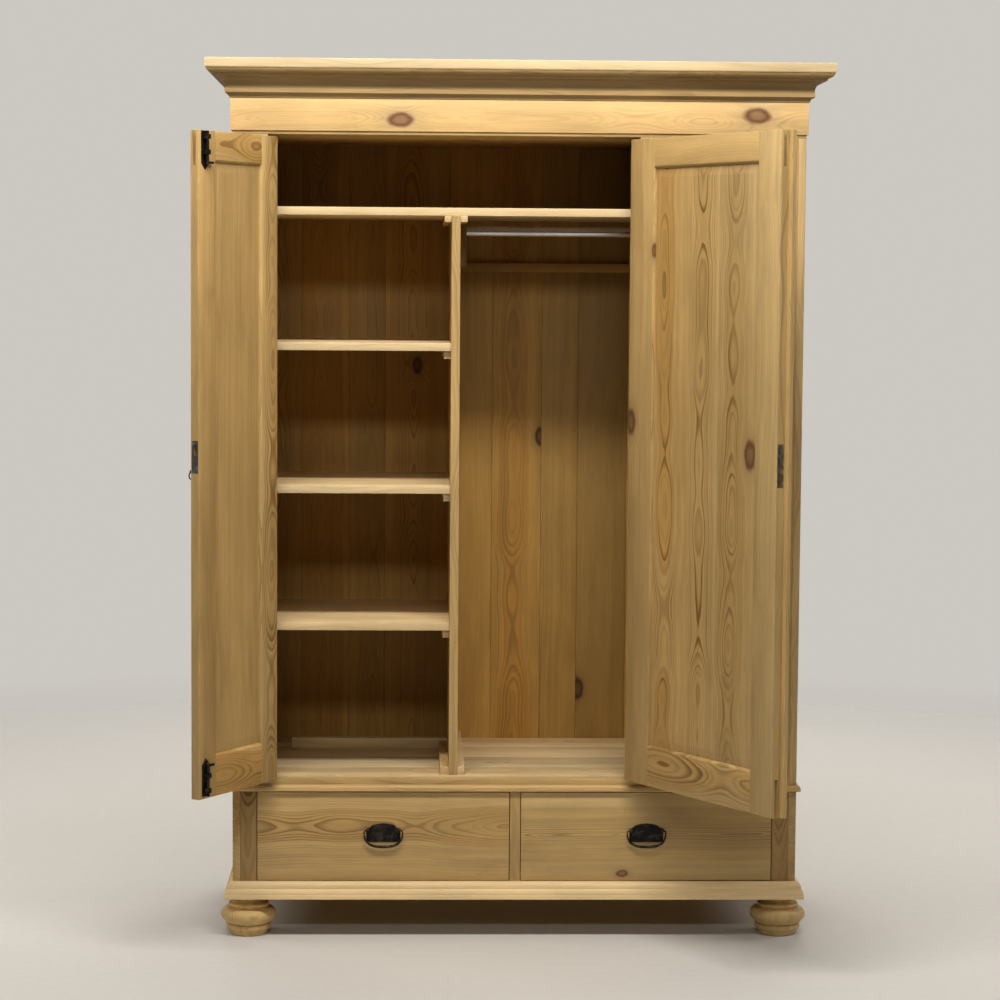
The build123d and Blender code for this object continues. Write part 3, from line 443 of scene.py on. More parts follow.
def pine(name, early, late, knot, ring=0.0046, contrast=1.0, roughness=0.5, coat=0.08):
    """Sawn and planed pine: yearly rings of a tapering log, knots that push them aside, and fine fibres."""
    f = Finish(name)
    x, y, z = f.split(f.attribute("grain"))
    bright, warmth, seed = f.split(f.attribute("tone"))
    drift = f.times(seed, 61.0)

    def wander(pace, start, detail):
        """Noise that changes along a strip alone, and differs from strip to strip."""
        return f.noise(f.join(f.times(x, pace), f.plus(drift, start)), dimensions="2D", detail=detail)

    def pushed(value, noise, reach):
        """A value moved to and fro by a noise."""
        return f.plus(value, f.times(f.plus(noise, -0.5), reach))

    y = pushed(y, wander(1.3, 0.0, 2.0), 0.03)
    z = pushed(pushed(z, wander(1.1, 7.0, 3.0), 0.08), wander(4.2, 19.0, 1.0), 0.045)

    def stretched(along, across, detail=2.0):
        """Noise with its own pace along the grain and across it."""
        return f.noise(f.join(f.times(x, along), f.times(y, across), f.times(z, across)), detail=detail)

    spot = f.join(f.times(x, 2.6), f.plus(f.times(y, 4.6), drift))
    eyes = f.node("ShaderNodeTexVoronoi", {"Vector": spot, "Scale": 1.0}, voronoi_dimensions="2D")
    luck, size, _ = f.split(eyes.outputs["Color"])
    has_knot = f.sum("GREATER_THAN", luck, 0.84)
    reach = f.sum("DIVIDE", eyes.outputs["Distance"], f.fade(size, 0.0, 1.0, 0.55, 1.25))
    reach = pushed(reach, f.noise(f.join(f.times(x, 60.0), f.times(y, 60.0)), detail=1.0), 0.02)
    swell = f.times(has_knot, f.fade(reach, 0.0, 0.24, 0.02, 0.0))

    radius = f.plus(f.sum("SQRT", f.plus(f.times(y, y), f.times(z, z))), swell)
    radius = pushed(radius, stretched(1.6, 9.0), 0.011)
    radius = pushed(radius, stretched(14.0, 90.0), 0.0016)
    count = f.times(radius, 1.0 / ring)
    uneven = f.noise(f.join(f.times(count, 0.45), drift), dimensions="2D")
    count = f.plus(count, f.times(uneven, 1.6))
    age = f.sum("FRACT", count)
    year = f.noise(f.join(f.times(f.sum("FLOOR", count), 0.73), drift), dimensions="2D", detail=0.0)
    line = f.times(f.fade(age, 0.35, 0.86), f.fade(age, 1.0, 0.9))
    line = f.times(line, f.fade(year, 0.3, 0.7, 0.25, 1.0))
    strong = f.noise(f.join(f.times(x, 1.1), f.times(y, 12.0), f.plus(f.times(z, 12.0), drift)), detail=1.0)
    line = f.times(line, f.times(f.fade(strong, 0.35, 0.7, 0.45, 1.0), contrast))
    line = f.times(line, f.fade(f.sum("ABSOLUTE", y), 0.012, 0.05, 1.0, 0.4))

    fibre, streak, cloud = stretched(9.0, 420.0), stretched(1.2, 55.0), stretched(5.0, 14.0, 3.0)
    patch = f.noise(f.join(f.times(x, 0.8), f.times(y, 5.0), f.plus(z, drift)), detail=1.0)

    wood = f.mix(f.fade(warmth, 0.0, 1.0), colour(*early), tinted(early, (1.0, 0.86, 0.66)))
    wood = f.mix(f.times(f.fade(patch, 0.35, 0.75), 0.45), wood, tinted(early, (0.86, 0.74, 0.5)))
    sapwood = f.fade(f.plus(radius, f.times(drift, 0.0003)), 0.062, 0.066, 0.0, 0.4)
    wood = f.mix(sapwood, wood, tinted(early, (1.2, 1.24, 1.35)))
    wood = f.mix(line, wood, colour(*late))
    rim = f.times(has_knot, f.times(f.fade(reach, 0.085, 0.05), f.fade(reach, 0.02, 0.05, 0.7, 1.0)))
    halo = f.times(has_knot, f.fade(reach, 0.17, 0.05, 0.0, 0.45))
    wood = f.mix(halo, wood, colour(*(0.55 * e + 0.45 * k for e, k in zip(early, knot))))
    whorl = f.sum("FRACT", f.times(reach, 70.0))
    heartwood = f.mix(f.times(whorl, 0.5), colour(*knot), tinted(knot, (1.9, 1.9, 1.9)))
    wood = f.mix(rim, wood, heartwood)

    # bright carries each board's shade factor, painted light or painted shade on some boards, with its random
    # tone.
    light = f.times(bright, f.fade(fibre, 0.25, 0.75, 0.955, 1.045))
    light = f.times(light, f.fade(streak, 0.25, 0.75, 0.9, 1.08))
    light = f.times(light, f.fade(cloud, 0.2, 0.8, 0.9, 1.08))

    reach_x, reach_y, reach_z = f.split(f.attribute("local"))
    half_x, half_y, half_z = f.split(f.attribute("half"))
    gaps = [f.sum("SUBTRACT", h, f.sum("ABSOLUTE", r))
            for h, r in ((half_x, reach_x), (half_y, reach_y), (half_z, reach_z))]
    near = f.sum("MAXIMUM", f.sum("MINIMUM", gaps[0], gaps[1]),
                 f.sum("MINIMUM", f.sum("MAXIMUM", gaps[0], gaps[1]), gaps[2]))
    wear = f.times(f.fade(near, 0.0034, 0.0006), f.fade(stretched(30.0, 30.0, 3.0), 0.4, 0.62))
    light = f.times(light, f.fade(wear, 0.0, 1.0, 1.0, 1.14))
    shade = f.node("ShaderNodeCombineColor", {0: light, 1: light, 2: light}).outputs[0]
    wood = f.mix(1.0, wood, shade, "MULTIPLY")
    f.feed(f.shader.inputs["Base Color"], wood)

    dull = f.plus(f.fade(cloud, 0.2, 0.8, roughness - 0.05, roughness + 0.07), f.times(line, -0.07))
    f.feed(f.shader.inputs["Roughness"], f.plus(dull, f.times(wear, 0.08)))
    height = f.plus(f.times(line, 0.55), f.times(fibre, 0.35))
    f.bump(f.plus(height, f.times(rim, -0.5)), 0.35, 0.0005)
    f.gloss(coat_weight=coat, coat_roughness=0.38, specular_ior_level=0.42)
    return f.material


def iron(name, dark, worn, roughness=0.5, rust=(0.09, 0.04, 0.018)):
    """Old forged or cast iron, blackened, with bare spots on what hands touch and a little rust."""
    f = Finish(name)
    place = f.node("ShaderNodeTexCoord").outputs["Object"]
    grit = f.noise(place, 900.0, 3.0)
    blotch = f.noise(place, 70.0, 4.0, 0.6)
    stain = f.noise(place, 28.0, 3.0)
    metal = f.mix(f.fade(blotch, 0.45, 0.68), colour(*dark), colour(*worn))
    metal = f.mix(f.times(f.fade(stain, 0.54, 0.72), 0.55), metal, colour(*rust))
    f.feed(f.shader.inputs["Base Color"], metal)
    f.feed(f.shader.inputs["Roughness"], f.fade(blotch, 0.3, 0.7, roughness + 0.12, roughness - 0.1))
    f.feed(f.shader.inputs["Metallic"], f.fade(stain, 0.5, 0.75, 0.9, 0.55))
    f.bump(f.plus(grit, f.times(blotch, 1.5)), 0.4, 0.0004)
    return f.material


def tube_steel(name):
    """Drawn and polished tube, with fine lines along its length."""
    f = Finish(name)
    place = f.node("ShaderNodeTexCoord").outputs["Object"]
    x, y, z = f.split(place)
    lines = f.noise(f.join(f.times(x, 6.0), f.times(y, 1500.0), f.times(z, 1500.0)), detail=2.0)
    smear = f.noise(place, 9.0, 3.0)
    metal = f.mix(f.fade(smear, 0.3, 0.7), colour(0.72, 0.72, 0.73), colour(0.6, 0.6, 0.61))
    f.feed(f.shader.inputs["Base Color"], metal)
    f.feed(f.shader.inputs["Roughness"], f.fade(smear, 0.3, 0.7, 0.2, 0.32))
    f.bump(lines, 0.1, 0.0002)
    f.gloss(metallic=1.0)
    return f.material


WAXED = pine("waxed_old_pine", (0.475, 0.33, 0.135), (0.22, 0.115, 0.03), (0.12, 0.055, 0.02),
             contrast=1.15)
# Inside pine: matt, and its dark colour is painted shade for the unlit inside of the cabinet.
SHADE_DARK_PINE = pine("dull_inner_pine_painted_shade", (0.43, 0.26, 0.066), (0.19, 0.09, 0.02), (0.06, 0.024, 0.01),
              roughness=0.62, coat=0.0)
# Pale pine: the newer wood, and also painted light where it is put on the strongly lit frieze and top board.
PALE_PINE_NEW_AND_LIT = pine("newer_planed_pine_and_painted_light", (0.64, 0.5, 0.28), (0.42, 0.26, 0.1), (0.13, 0.055, 0.02),
             contrast=0.7, roughness=0.58, coat=0.0)
BLACK_IRON = iron("blackened_iron", (0.018, 0.015, 0.013), (0.06, 0.053, 0.046))
BARE_STEEL = iron("worn_steel", (0.16, 0.145, 0.125), (0.36, 0.34, 0.31), roughness=0.42)
TUBE_STEEL = tube_steel("polished_tube_steel")
WOODS = {"waxed_pine": WAXED, "dark_pine": SHADE_DARK_PINE, "new_pine": PALE_PINE_NEW_AND_LIT}
SLOTS = {part["node"]: part["material_slot"] for part in frame["record"]["subparts"]}
METALS = {"black_iron": BLACK_IRON, "worn_steel": BARE_STEEL, "rail_steel": TUBE_STEEL}
BODY_OF = {node: body for body, nodes in frame["record"]["behaviour"]["bodies"].items()
           for node in nodes}


def fit(piece, node, leaf=None, finish=None):
    """Finishes a piece and puts it on the body of the node that it stands for."""
    if leaf:
        swing(piece, leaf)
    take(piece)
    bpy.ops.object.shade_smooth_by_angle(angle=SMOOTH)
    piece.data.materials.clear()
    piece.data.materials.append(finish or {**WOODS, **METALS}[SLOTS[node]])
    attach(piece, BODY_OF[node])
    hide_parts(node)
    return piece


# ---- boards --------------------------------------------------------------------------------

BOLT_RADIUS = 4 * MM
SOCKET_DEPTH = 14 * MM


def bolt_socket(board, face):
    """Middle and radius of the hole that a shoot bolt of the closed left leaf enters in a board's face."""
    (low, high), = solids("top_bolt", "left_door")
    middle = Vector((high.x - BOLT_RADIUS, (low.y + high.y) / 2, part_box(board)[face].z))
    return middle, BOLT_RADIUS + MM


SOCKETS = {"cap_board": bolt_socket("cap_board", 0), "floor_boards": bolt_socket("floor_boards", 1)}


def plain_boards(node, leaf=None, seams=None, shades=(1.0,), arris=ARRIS, along=None, flat=0.5,
                 finish=None):
    """A planed board for each solid of a node."""
    for number, (low, high) in enumerate(solids(node, leaf), 1):
        piece = soften(block(f"{node}_board_{number}", low, high), arris)
        if node in SOCKETS and low.y < SOCKETS[node][0].y < high.y:
            bore(piece, *SOCKETS[node], SOCKET_DEPTH)
        grow(piece, seams, along, shades[(number - 1) % len(shades)], flat)
        fit(piece, node, leaf, finish)


plain_boards("base_sides", shades=(0.92,))
plain_boards("base_back")
plain_boards("base_bottom")
plain_boards("front_rails", seams=[], shades=(0.95,))
plain_boards("front_posts", seams=[], shades=(0.72, 0.85, 0.72), flat=0.2)
plain_boards("base_top")
plain_boards("drawer_partition")
plain_boards("drawer_runners", seams=[], arris=0.8 * MM)
plain_boards("side_left")
plain_boards("side_right")
plain_boards("front_stiles", seams=[], shades=(0.95,), flat=0.2)
# The frieze's pale finish is painted light for the bright light falling on it.
plain_boards("frieze", seams=[], arris=0.8 * MM, flat=0.9, finish=PALE_PINE_NEW_AND_LIT)
plain_boards("cap_board", shades=(1.05,), arris=1.6 * MM)
# Shade 1.1 on the back rails is painted light: the rail stands forward of the back and catches light above the top
# shelf's shadow.
plain_boards("back_rails", seams=[], shades=(1.1,))
plain_boards("top_shelf")
# Shade 1.12 on the shelves is a painted highlight for their lit tops and front edges.
plain_boards("shelves", shades=(1.12,))
plain_boards("shelf_bearers", seams=[], arris=0.8 * MM)
plain_boards("cleats", seams=[], arris=0.8 * MM)
plain_boards("rail_blocks", seams=[], shades=(0.75,), along=2)
plain_boards("floor_boards", seams=[], shades=(0.95, 0.88, 1.0, 0.92))
plain_boards("drawer_left_box")
plain_boards("drawer_right_box")
plain_boards("drawer_left_front", seams=[], arris=1.6 * MM, flat=0.9)
plain_boards("drawer_right_front", seams=[], shades=(1.02,), arris=1.6 * MM, flat=0.9)


def back_boards():
    """Boards tongued together: each reaches a little under its neighbour, with a vee at the joint."""
    shades = (0.95, 1.05, 0.9, 1.0, 1.08, 1.0, 0.94, 0.74, 1.04, 1.0, 0.92)
    boxes = solids("back_boards")
    for number, (low, high) in enumerate(boxes, 1):
        board = soften(block(f"back_board_{number}", low, high), 0.9 * MM)
        tongue = block("tongue", low + X * 2 * MM + Y * 4 * MM + Z * MM,
                       high + X * 3 * MM - Y * 4 * MM - Z * MM)
        if number < len(boxes):
            board = join(f"back_board_{number}", tongue, board)
        else:
            bpy.data.objects.remove(tongue)
        fit(grow(board, [], 2, shades[number - 1]), "back_boards")


def divider():
    """The upright between shelves and hanging space, its front edge rounded."""
    (low, high), = solids("divider")
    piece = soften(block("upright_divider", low, high), 1.5 * MM, 2, edges_at(Y, low.y, Z))
    fit(grow(piece, shade=0.98), "divider", finish=WAXED)


def cornice_top():
    """The top board, its lower edge rounded under and its upper edges eased."""
    (low, high), = solids("cornice_top")
    piece = block("cornice_board", low, high)
    under = low.z + 1e-5
    soften(piece, 5 * MM, 5, lambda e: middle_of(e).z < under and middle_of(e).y < high.y - 1e-4)
    soften(piece, 2 * MM, 3, edges_at(Z, high.z))
    # The pale finish here is painted light for the brightly lit top board.
    fit(grow(piece, shade=0.95, flat=0.9), "cornice_top", finish=PALE_PINE_NEW_AND_LIT)


FOOT = [(0, 0), (42, 0), (44, 2), (45.5, 6), (46.5, 11), (50, 12.5)]
FOOT += bend((50, 12.5), (52.5, 18), (51, 24.5)) + [(48, 26), (48, 28), (53.5, 28.5), (55, 31), (56, 33.5)]
FOOT += bend((56, 33.5), (64, 48), (47, 62.5), 12) + [(45, 63), (44.5, 64.5)]
FOOT += bend((44.5, 64.5), (47.5, 69), (44, 73.5), 8) + bend((44, 73.5), (35, 76.5), (31, 83), 6)
FOOT += [(33, 84), (33, 91), (0, 91)]


def feet():
    """Turned bun feet."""
    spots = [(low + high) / 2 - Z * (high.z - low.z) / 2 for low, high in solids("feet")]
    first = turn("foot_1", FOOT, spots[0])
    pieces = [copy_of(first, f"foot_{n}", spot - spots[0]) for n, spot in enumerate(spots[1:], 2)]
    for piece in [first] + pieces:
        fit(grow(piece, [], 2, 1.2, 0.0), "feet")


REEDED = [(0, 40), (0, 0), (17.5, 0), (18.5, 1), (18.5, 8.5), (17.6, 9.5)]
REEDED += bend((17.6, 9.5), (17.6, 17), (13.6, 23), 7) + [(12.6, 23.6)]
REEDED += bend((12.6, 24), (12, 32), (7.4, 38), 7) + [(7, 40)]
NOSED = [(0, 14), (0, 0), (8, 0), (9, 1), (9, 5)] + bend((9, 5), (6.4, 11.4), (0, 14), 7)[:-1]
CROWN = [(-18, 62), (-18, 0), (6, 0), (7, 5), (10, 8.5), (14.5, 9.5), (16, 11), (16, 18.5), (15, 19.6)]
CROWN += bend((15, 20.2), (18.5, 35), (33, 45.5), 9) + [(39, 46), (40, 47), (40, 50.6), (41.5, 51.4)]
CROWN += bend((41.5, 51.6), (50.5, 54.6), (55.5, 61.9), 7) + [(55, 62)]


def mouldings(node, profile, name, shade=1.0):
    """A moulding along both sides and the front, mitred at the corners."""
    boxes = solids(node)
    widest = max(boxes, key=lambda box: box[1].x - box[0].x)
    base, back = widest[0].z, max(high.y for _, high in boxes)
    start, reach = widest[0].y, widest[1].x
    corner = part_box("side_right")[1].x
    shapes = [(f"{name}_front", [Vector((-reach, -out * MM, base + up * MM)) for out, up in profile],
               X * 2 * reach, [((-corner, 0, 0), (-1, 1, 0)), ((corner, 0, 0), (1, 1, 0))])]
    for side, hand in (("left", -1), ("right", 1)):
        points = [Vector((hand * (corner + out * MM), start, base + up * MM)) for out, up in profile]
        shapes.append((f"{name}_{side}", points, Y * (back - start),
                       [((hand * corner, 0, 0), (-hand, -1, 0))]))
    for label, points, by, mitres in shapes:
        piece = pull(outline(label, points), by)
        for point, normal in mitres:
            slice_off(piece, point, normal)
        with editing(piece):
            bpy.ops.mesh.normals_make_consistent(inside=False)
        fit(grow(piece, [], shade=shade, flat=0.3), node)


# ---- framed leaves ---------------------------------------------------------------------------

def fielded_panel(node, name, leaf=None, shade=1.0):
    """A glued panel with its field bevelled down to a thin edge on both faces."""
    (low, high), = solids(node, leaf)
    rise = 4 * MM
    piece = block(name, low + Y * rise, high - Y * rise)
    for facing in (-1, 1):
        with editing(piece):
            pick("FACE", lambda face: face.normal.y * facing > 0.9)
            bpy.ops.mesh.inset(thickness=9 * MM, depth=0)
            bpy.ops.mesh.inset(thickness=19 * MM, depth=rise)
            bpy.ops.mesh.inset(thickness=0.6 * MM, depth=0)
    fit(grow(piece, along=2, shade=shade, flat=0.8), node, leaf)


def stiles(node, leaf=None, slots=(), shades=(1.0,)):
    """The upright members of a frame, with what is let into their edges cut out."""
    for number, (low, high) in enumerate(solids(node, leaf), 1):
        piece = soften(block(f"{node}_{number}", low, high))
        cut(piece, *((a, b) for a, b in slots if low.x - MM < (a[0] + b[0]) / 2 < high.x + MM))
        fit(grow(piece, [], 2, shades[(number - 1) % len(shades)], 0.25), node, leaf)


def rails(node, leaf=None, shade=1.0):
    """The top and bottom members, chamfered along the panel."""
    for number, (low, high) in enumerate(solids(node, leaf), 1):
        piece = block(f"{node}_{number}", low, high)
        inner = low.z if low.z > 1 else high.z
        soften(piece, 5 * MM, 1, edges_at(Z, inner, X))
        soften(piece, 0.6 * MM, 2, lambda e: runs_along(e, X))
        fit(grow(piece, [], 0, shade, 0.8), node, leaf)


def leaf_box(node, leaf):
    """Lowest and highest corner of all the solids of a node on its closed leaf."""
    boxes = solids(node, leaf)
    return (Vector([min(low[i] for low, _ in boxes) for i in range(3)]),
            Vector([max(high[i] for _, high in boxes) for i in range(3)]))


def notches(low, high, edge, facing):
    """The long notches in a leaf's meeting edge, at the top and at the bottom."""
    near, far = sorted((edge + facing * MM, edge - facing * 8 * MM))
    front, back = high.y - 16.5 * MM, high.y - 7.5 * MM
    return [((near, front, high.z - 76 * MM), (far, back, high.z + MM)),
            ((near, front, low.z - MM), (far, back, low.z + 82 * MM))]


def grown(box, by):
    low, high = box
    return tuple(low - Vector(by)), tuple(high + Vector(by))


back_boards()
divider()
cornice_top()
feet()
# These shades carry painted light: 1.3 lightens the base moulding, partly for paler wood and partly for its lit
# top faces, and 0.78 is painted shade on the cornice moulding's shaded cove and underside.
mouldings("base_moulding", REEDED, "base_moulding", 1.3)
mouldings("waist_moulding", NOSED, "waist_moulding", 1.1)
mouldings("cornice_moulding", CROWN, "cornice_moulding", 0.78)

left_low, left_high = leaf_box("left_stiles", "left_door")
lock_low, lock_high = leaf_box("lock_stiles", "lock_door")
case_low, case_high = leaf_box("lock_case", "lock_door")
latch_low, latch_high = leaf_box("lock_bolt", "lock_door")
key_low, key_high = leaf_box("key", "lock_door")
key_x, key_z = (key_low.x + key_high.x) / 2, (case_low.z + case_high.z) / 2
strike_hole = grown(leaf_box("strike_plate", "left_door"), (0.1 * MM,) * 3)


def latch_way(start, end):
    """The opening that the latch passes through, between two places along X."""
    low, high = grown((latch_low, latch_high), (0, 0.5 * MM, 0.5 * MM))
    return (start, *low[1:]), (end, *high[1:])


face_hole = ((case_low.x - MM, case_low.y - 0.1 * MM, case_low.z - 0.1 * MM),
             (case_low.x + 2.1 * MM, case_high.y + 0.1 * MM, case_high.z + 0.1 * MM))
case_hole = ((case_low.x, case_low.y + 1.4 * MM, case_low.z + 10.9 * MM),
             (case_high.x + 0.1 * MM, case_high.y - 1.4 * MM, case_high.z - 10.9 * MM))
key_slot = ((key_x - 2.6 * MM, lock_low.y - MM, key_z - 10 * MM),
            (key_x + 2.6 * MM, case_low.y + 2 * MM, key_z + 2.7 * MM))
left_notch, _ = notches(left_low, left_high, left_high.x, 1)
catch = latch_way(left_high.x - 12 * MM, left_high.x + MM)
stiles("left_stiles", "left_door", [left_notch, strike_hole, catch], (1.0, 0.96))
stiles("lock_stiles", "lock_door",
       notches(lock_low, lock_high, lock_low.x, -1) + [face_hole, case_hole, key_slot], (1.0, 0.9))
stiles("fixed_stiles")
rails("left_rails", "left_door", 0.95)
rails("lock_rails", "lock_door", 0.97)
rails("fixed_rails")
fielded_panel("left_panel", "left_leaf_panel", "left_door")
fielded_panel("lock_panel", "lock_leaf_panel", "lock_door")
fielded_panel("fixed_panel", "front_fixed_panel")


def cover_strip():
    """The rounded strip over the meeting of the leaves, with its glued foot."""
    low, high = leaf_box("cover_strip", "lock_door")
    strip = block("strip", low, (high.x, high.y - 0.5 * MM, high.z))
    soften(strip, 4.5 * MM, 5, edges_at(Y, low.y, Z))
    foot = block("glue_face", (lock_low.x + 0.5 * MM, high.y - 2 * MM, low.z + MM),
                 (high.x - MM, high.y, high.z - MM))
    fit(grow(join("meeting_strip", foot, strip), [], 2, flat=0.2), "cover_strip", "lock_door")


cover_strip()

# ---- iron ---------------------------------------------------------------------------------

def screw(place, facing, radius=2.6):
    """A slotted screw head, countersunk and slightly domed. Its radius is in millimetres."""
    side = X if abs(facing.x) < 0.5 else Y
    shape = [(0, -0.8), (0.55, -0.8), (1, -0.12), (1, 0), (0.8, 0.14), (0.45, 0.22), (0, 0.24)]
    head = turn("screw", [(r * radius, h * 1.4) for r, h in shape], place, facing, side, 20)
    half = facing * 0.5 * MM + side * radius * MM + facing.cross(side) * 0.32 * MM
    half = Vector([abs(v) for v in half])
    return cut(head, (place + facing * 0.4 * MM - half, place + facing * 0.4 * MM + half))


def rod(name, path, radii, sides=14):
    """A bar that follows a path in an upright plane along X, its thickness changing on the way."""
    lines = [b - a for a, b in zip(path, path[1:])]
    headings = [atan2(v.z, v.x) for v in lines]
    clear()
    bpy.ops.mesh.primitive_circle_add(vertices=sides, radius=radii[0], fill_type="NGON",
                                      location=path[0], rotation=(0, pi / 2 - headings[0], 0))
    piece = named(name)
    facing = headings[0]
    with editing(piece):
        for i, line in enumerate(lines):
            bpy.ops.mesh.extrude_region_move(TRANSFORM_OT_translate={"value": line})
            ahead = headings[min(i + 1, len(lines) - 1)]
            step = (ahead - headings[i] + pi) % (2 * pi) - pi
            wanted = headings[i] + step / 2
            turned = (wanted - facing + pi) % (2 * pi) - pi
            bpy.ops.transform.rotate(value=turned, orient_axis="Y",
                                     center_override=path[i + 1])
            grown_by = radii[i + 1] / radii[i]
            bpy.ops.transform.resize(value=(grown_by,) * 3, center_override=path[i + 1])
            facing = wanted
        bpy.ops.mesh.select_all(action="SELECT")
        bpy.ops.mesh.normals_make_consistent(inside=False)
    return piece


PLATE = [(-39, 31), (-39, 4), (-38.2, 1.6), (-36, 0.2), (-34, 0), (34, 0), (36, 0.2), (38.2, 1.6), (39, 4)]
PLATE += [(39, 31)] + bend((39, 31), (31, 33.5), (26, 38.5), 6)
PLATE += bend((26, 38.5), (0, 43), (-26, 38.5), 12) + bend((-26, 38.5), (-31, 33.5), (-39, 31), 6)[:-1]
LOBE = [(-24, 8)] + bend((-24, 8), (0, 5), (24, 8), 8) + bend((24, 8), (27, 20), (20, 33), 6)
LOBE += bend((20, 33), (0, 38), (-20, 33), 8) + bend((-20, 33), (-27, 20), (-24, 8), 6)[:-1]


def handle(side):
    """A back plate with a raised lobe, an eye at each end and the screws, and the bail that it carries."""
    plate, bail = f"handle_{side}_plate", f"bail_{side}"
    low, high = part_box(plate)
    foot = Vector(((low.x + high.x) / 2, high.y, low.z))
    base = pull(outline(f"{side}_plate", [foot + Vector((x, 0, z)) * MM for x, z in PLATE]), -Y * 2 * MM)
    soften(base, 0.7 * MM, 2, edges_at(Y, foot.y - 2 * MM))
    lobe = pull(outline("lobe", [foot + Vector((x, -1.5, z)) * MM for x, z in LOBE]), -Y * 2 * MM)
    soften(lobe, 1.2 * MM, 3, edges_at(Y, foot.y - 3.5 * MM))
    rim = [(2.5, -3), (4.2, -3), (4.7, -1.6), (4.7, 1.6), (4.2, 3), (2.5, 3), (2.5, -3)]
    middle = Vector((foot.x, -8.5 * MM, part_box(bail)[1].z - 2.4 * MM))
    parts = [lobe]
    for hand in (-1, 1):
        eye = middle + X * hand * 36 * MM
        parts.append(turn("eye", rim, eye, X, Y, 24))
        neck = block("neck", eye + Vector((-3, 2.9, -3.6)) * MM, eye + Vector((3, 7, 3.6)) * MM)
        parts.append(soften(neck, 0.6 * MM))
        parts.append(screw(foot + Vector((hand * 31, -2.05, 12)) * MM, -Y))
    fit(join(f"{side}_plate", *parts, base), plate)
    curve = [(-33, 0), (-37, 0), (-40.5, -0.3), (-43, -1.6), (-44.2, -4.2)]
    curve += [(-44.4 * cos(t) ** 0.72, -6 - 32 * sin(t) ** 0.85) for t in
              (radians(90 * i / 14) for i in range(15))]
    curve += [(-x, z) for x, z in reversed(curve[:-1])]
    radii = [2.3 - 0.25 * i for i in range(5)]
    radii += [1.3 + 1.9 * sin(radians(90 * i / 14)) for i in range(15)]
    radii += list(reversed(radii[:-1]))
    path = [middle + Vector((x, 0, z)) * MM for x, z in curve]
    fit(rod(f"{side}_drop_handle", path, [r * MM for r in radii]), bail)


handle("left")
handle("right")

LOWER_KNUCKLE = [(0, -8), (1.6, -7.9), (2.9, -6.9), (3.2, -5.6), (2.6, -4.2), (2.4, -3.4), (3.8, -2.4),
                 (4.7, -1), (5, 0), (5, 35.6), (4.6, 36), (2.9, 36), (2.9, 65), (2.4, 66), (0, 66)]
UPPER_KNUCKLE = [(3.1, 0), (4.6, 0), (5, 0.4), (5, 36), (4.7, 37), (3.8, 38.4), (2.4, 39.4), (2.6, 40.2),
                 (3.2, 41.6), (2.9, 42.9), (1.6, 43.9), (0, 44), (0, 32), (3.1, 32), (3.1, 0)]


def hinges(node, leaf, hand=1):
    """Lift-off hinges: a knuckle with its finial, and the leaf of the hinge let into the wood."""
    for number, (low, high) in enumerate(solids(node, leaf), 1):
        pinned = leaf is None
        if pinned:
            hand = 1 if (low.x + high.x) / 2 > 0 else -1
            pin = Vector(joints["lock_door" if hand > 0 else "left_door"]["pos_m"])
            plate_x = sorted((pin.x, pin.x + hand * 1.2 * MM))
            base, shape, top = low.z + 8 * MM, LOWER_KNUCKLE, low.z + 44 * MM
        else:
            pin = Vector(joints[leaf]["pos_m"])
            plate_x = sorted((pin.x + hand * 1.5 * MM, pin.x + hand * 2.7 * MM))
            base, shape, top = low.z, UPPER_KNUCKLE, high.z - 8 * MM
        pin.z = base
        knuckle = turn("knuckle", shape, pin, steps=28)
        plate = soften(block("plate", (plate_x[0], high.y - 17.8 * MM, base),
                             (plate_x[1], high.y, top)), 0.4 * MM)
        if not pinned:
            cut(plate, (pin - Vector((3.1, 3.1, 1)) * MM, pin + Vector((3.1, 3.1, 60)) * MM))
        fit(join(f"{node}_{number}", knuckle, plate), node, leaf)


hinges("carcass_hinges", None)
hinges("left_hinges", "left_door", 1)
hinges("lock_hinges", "lock_door", -1)


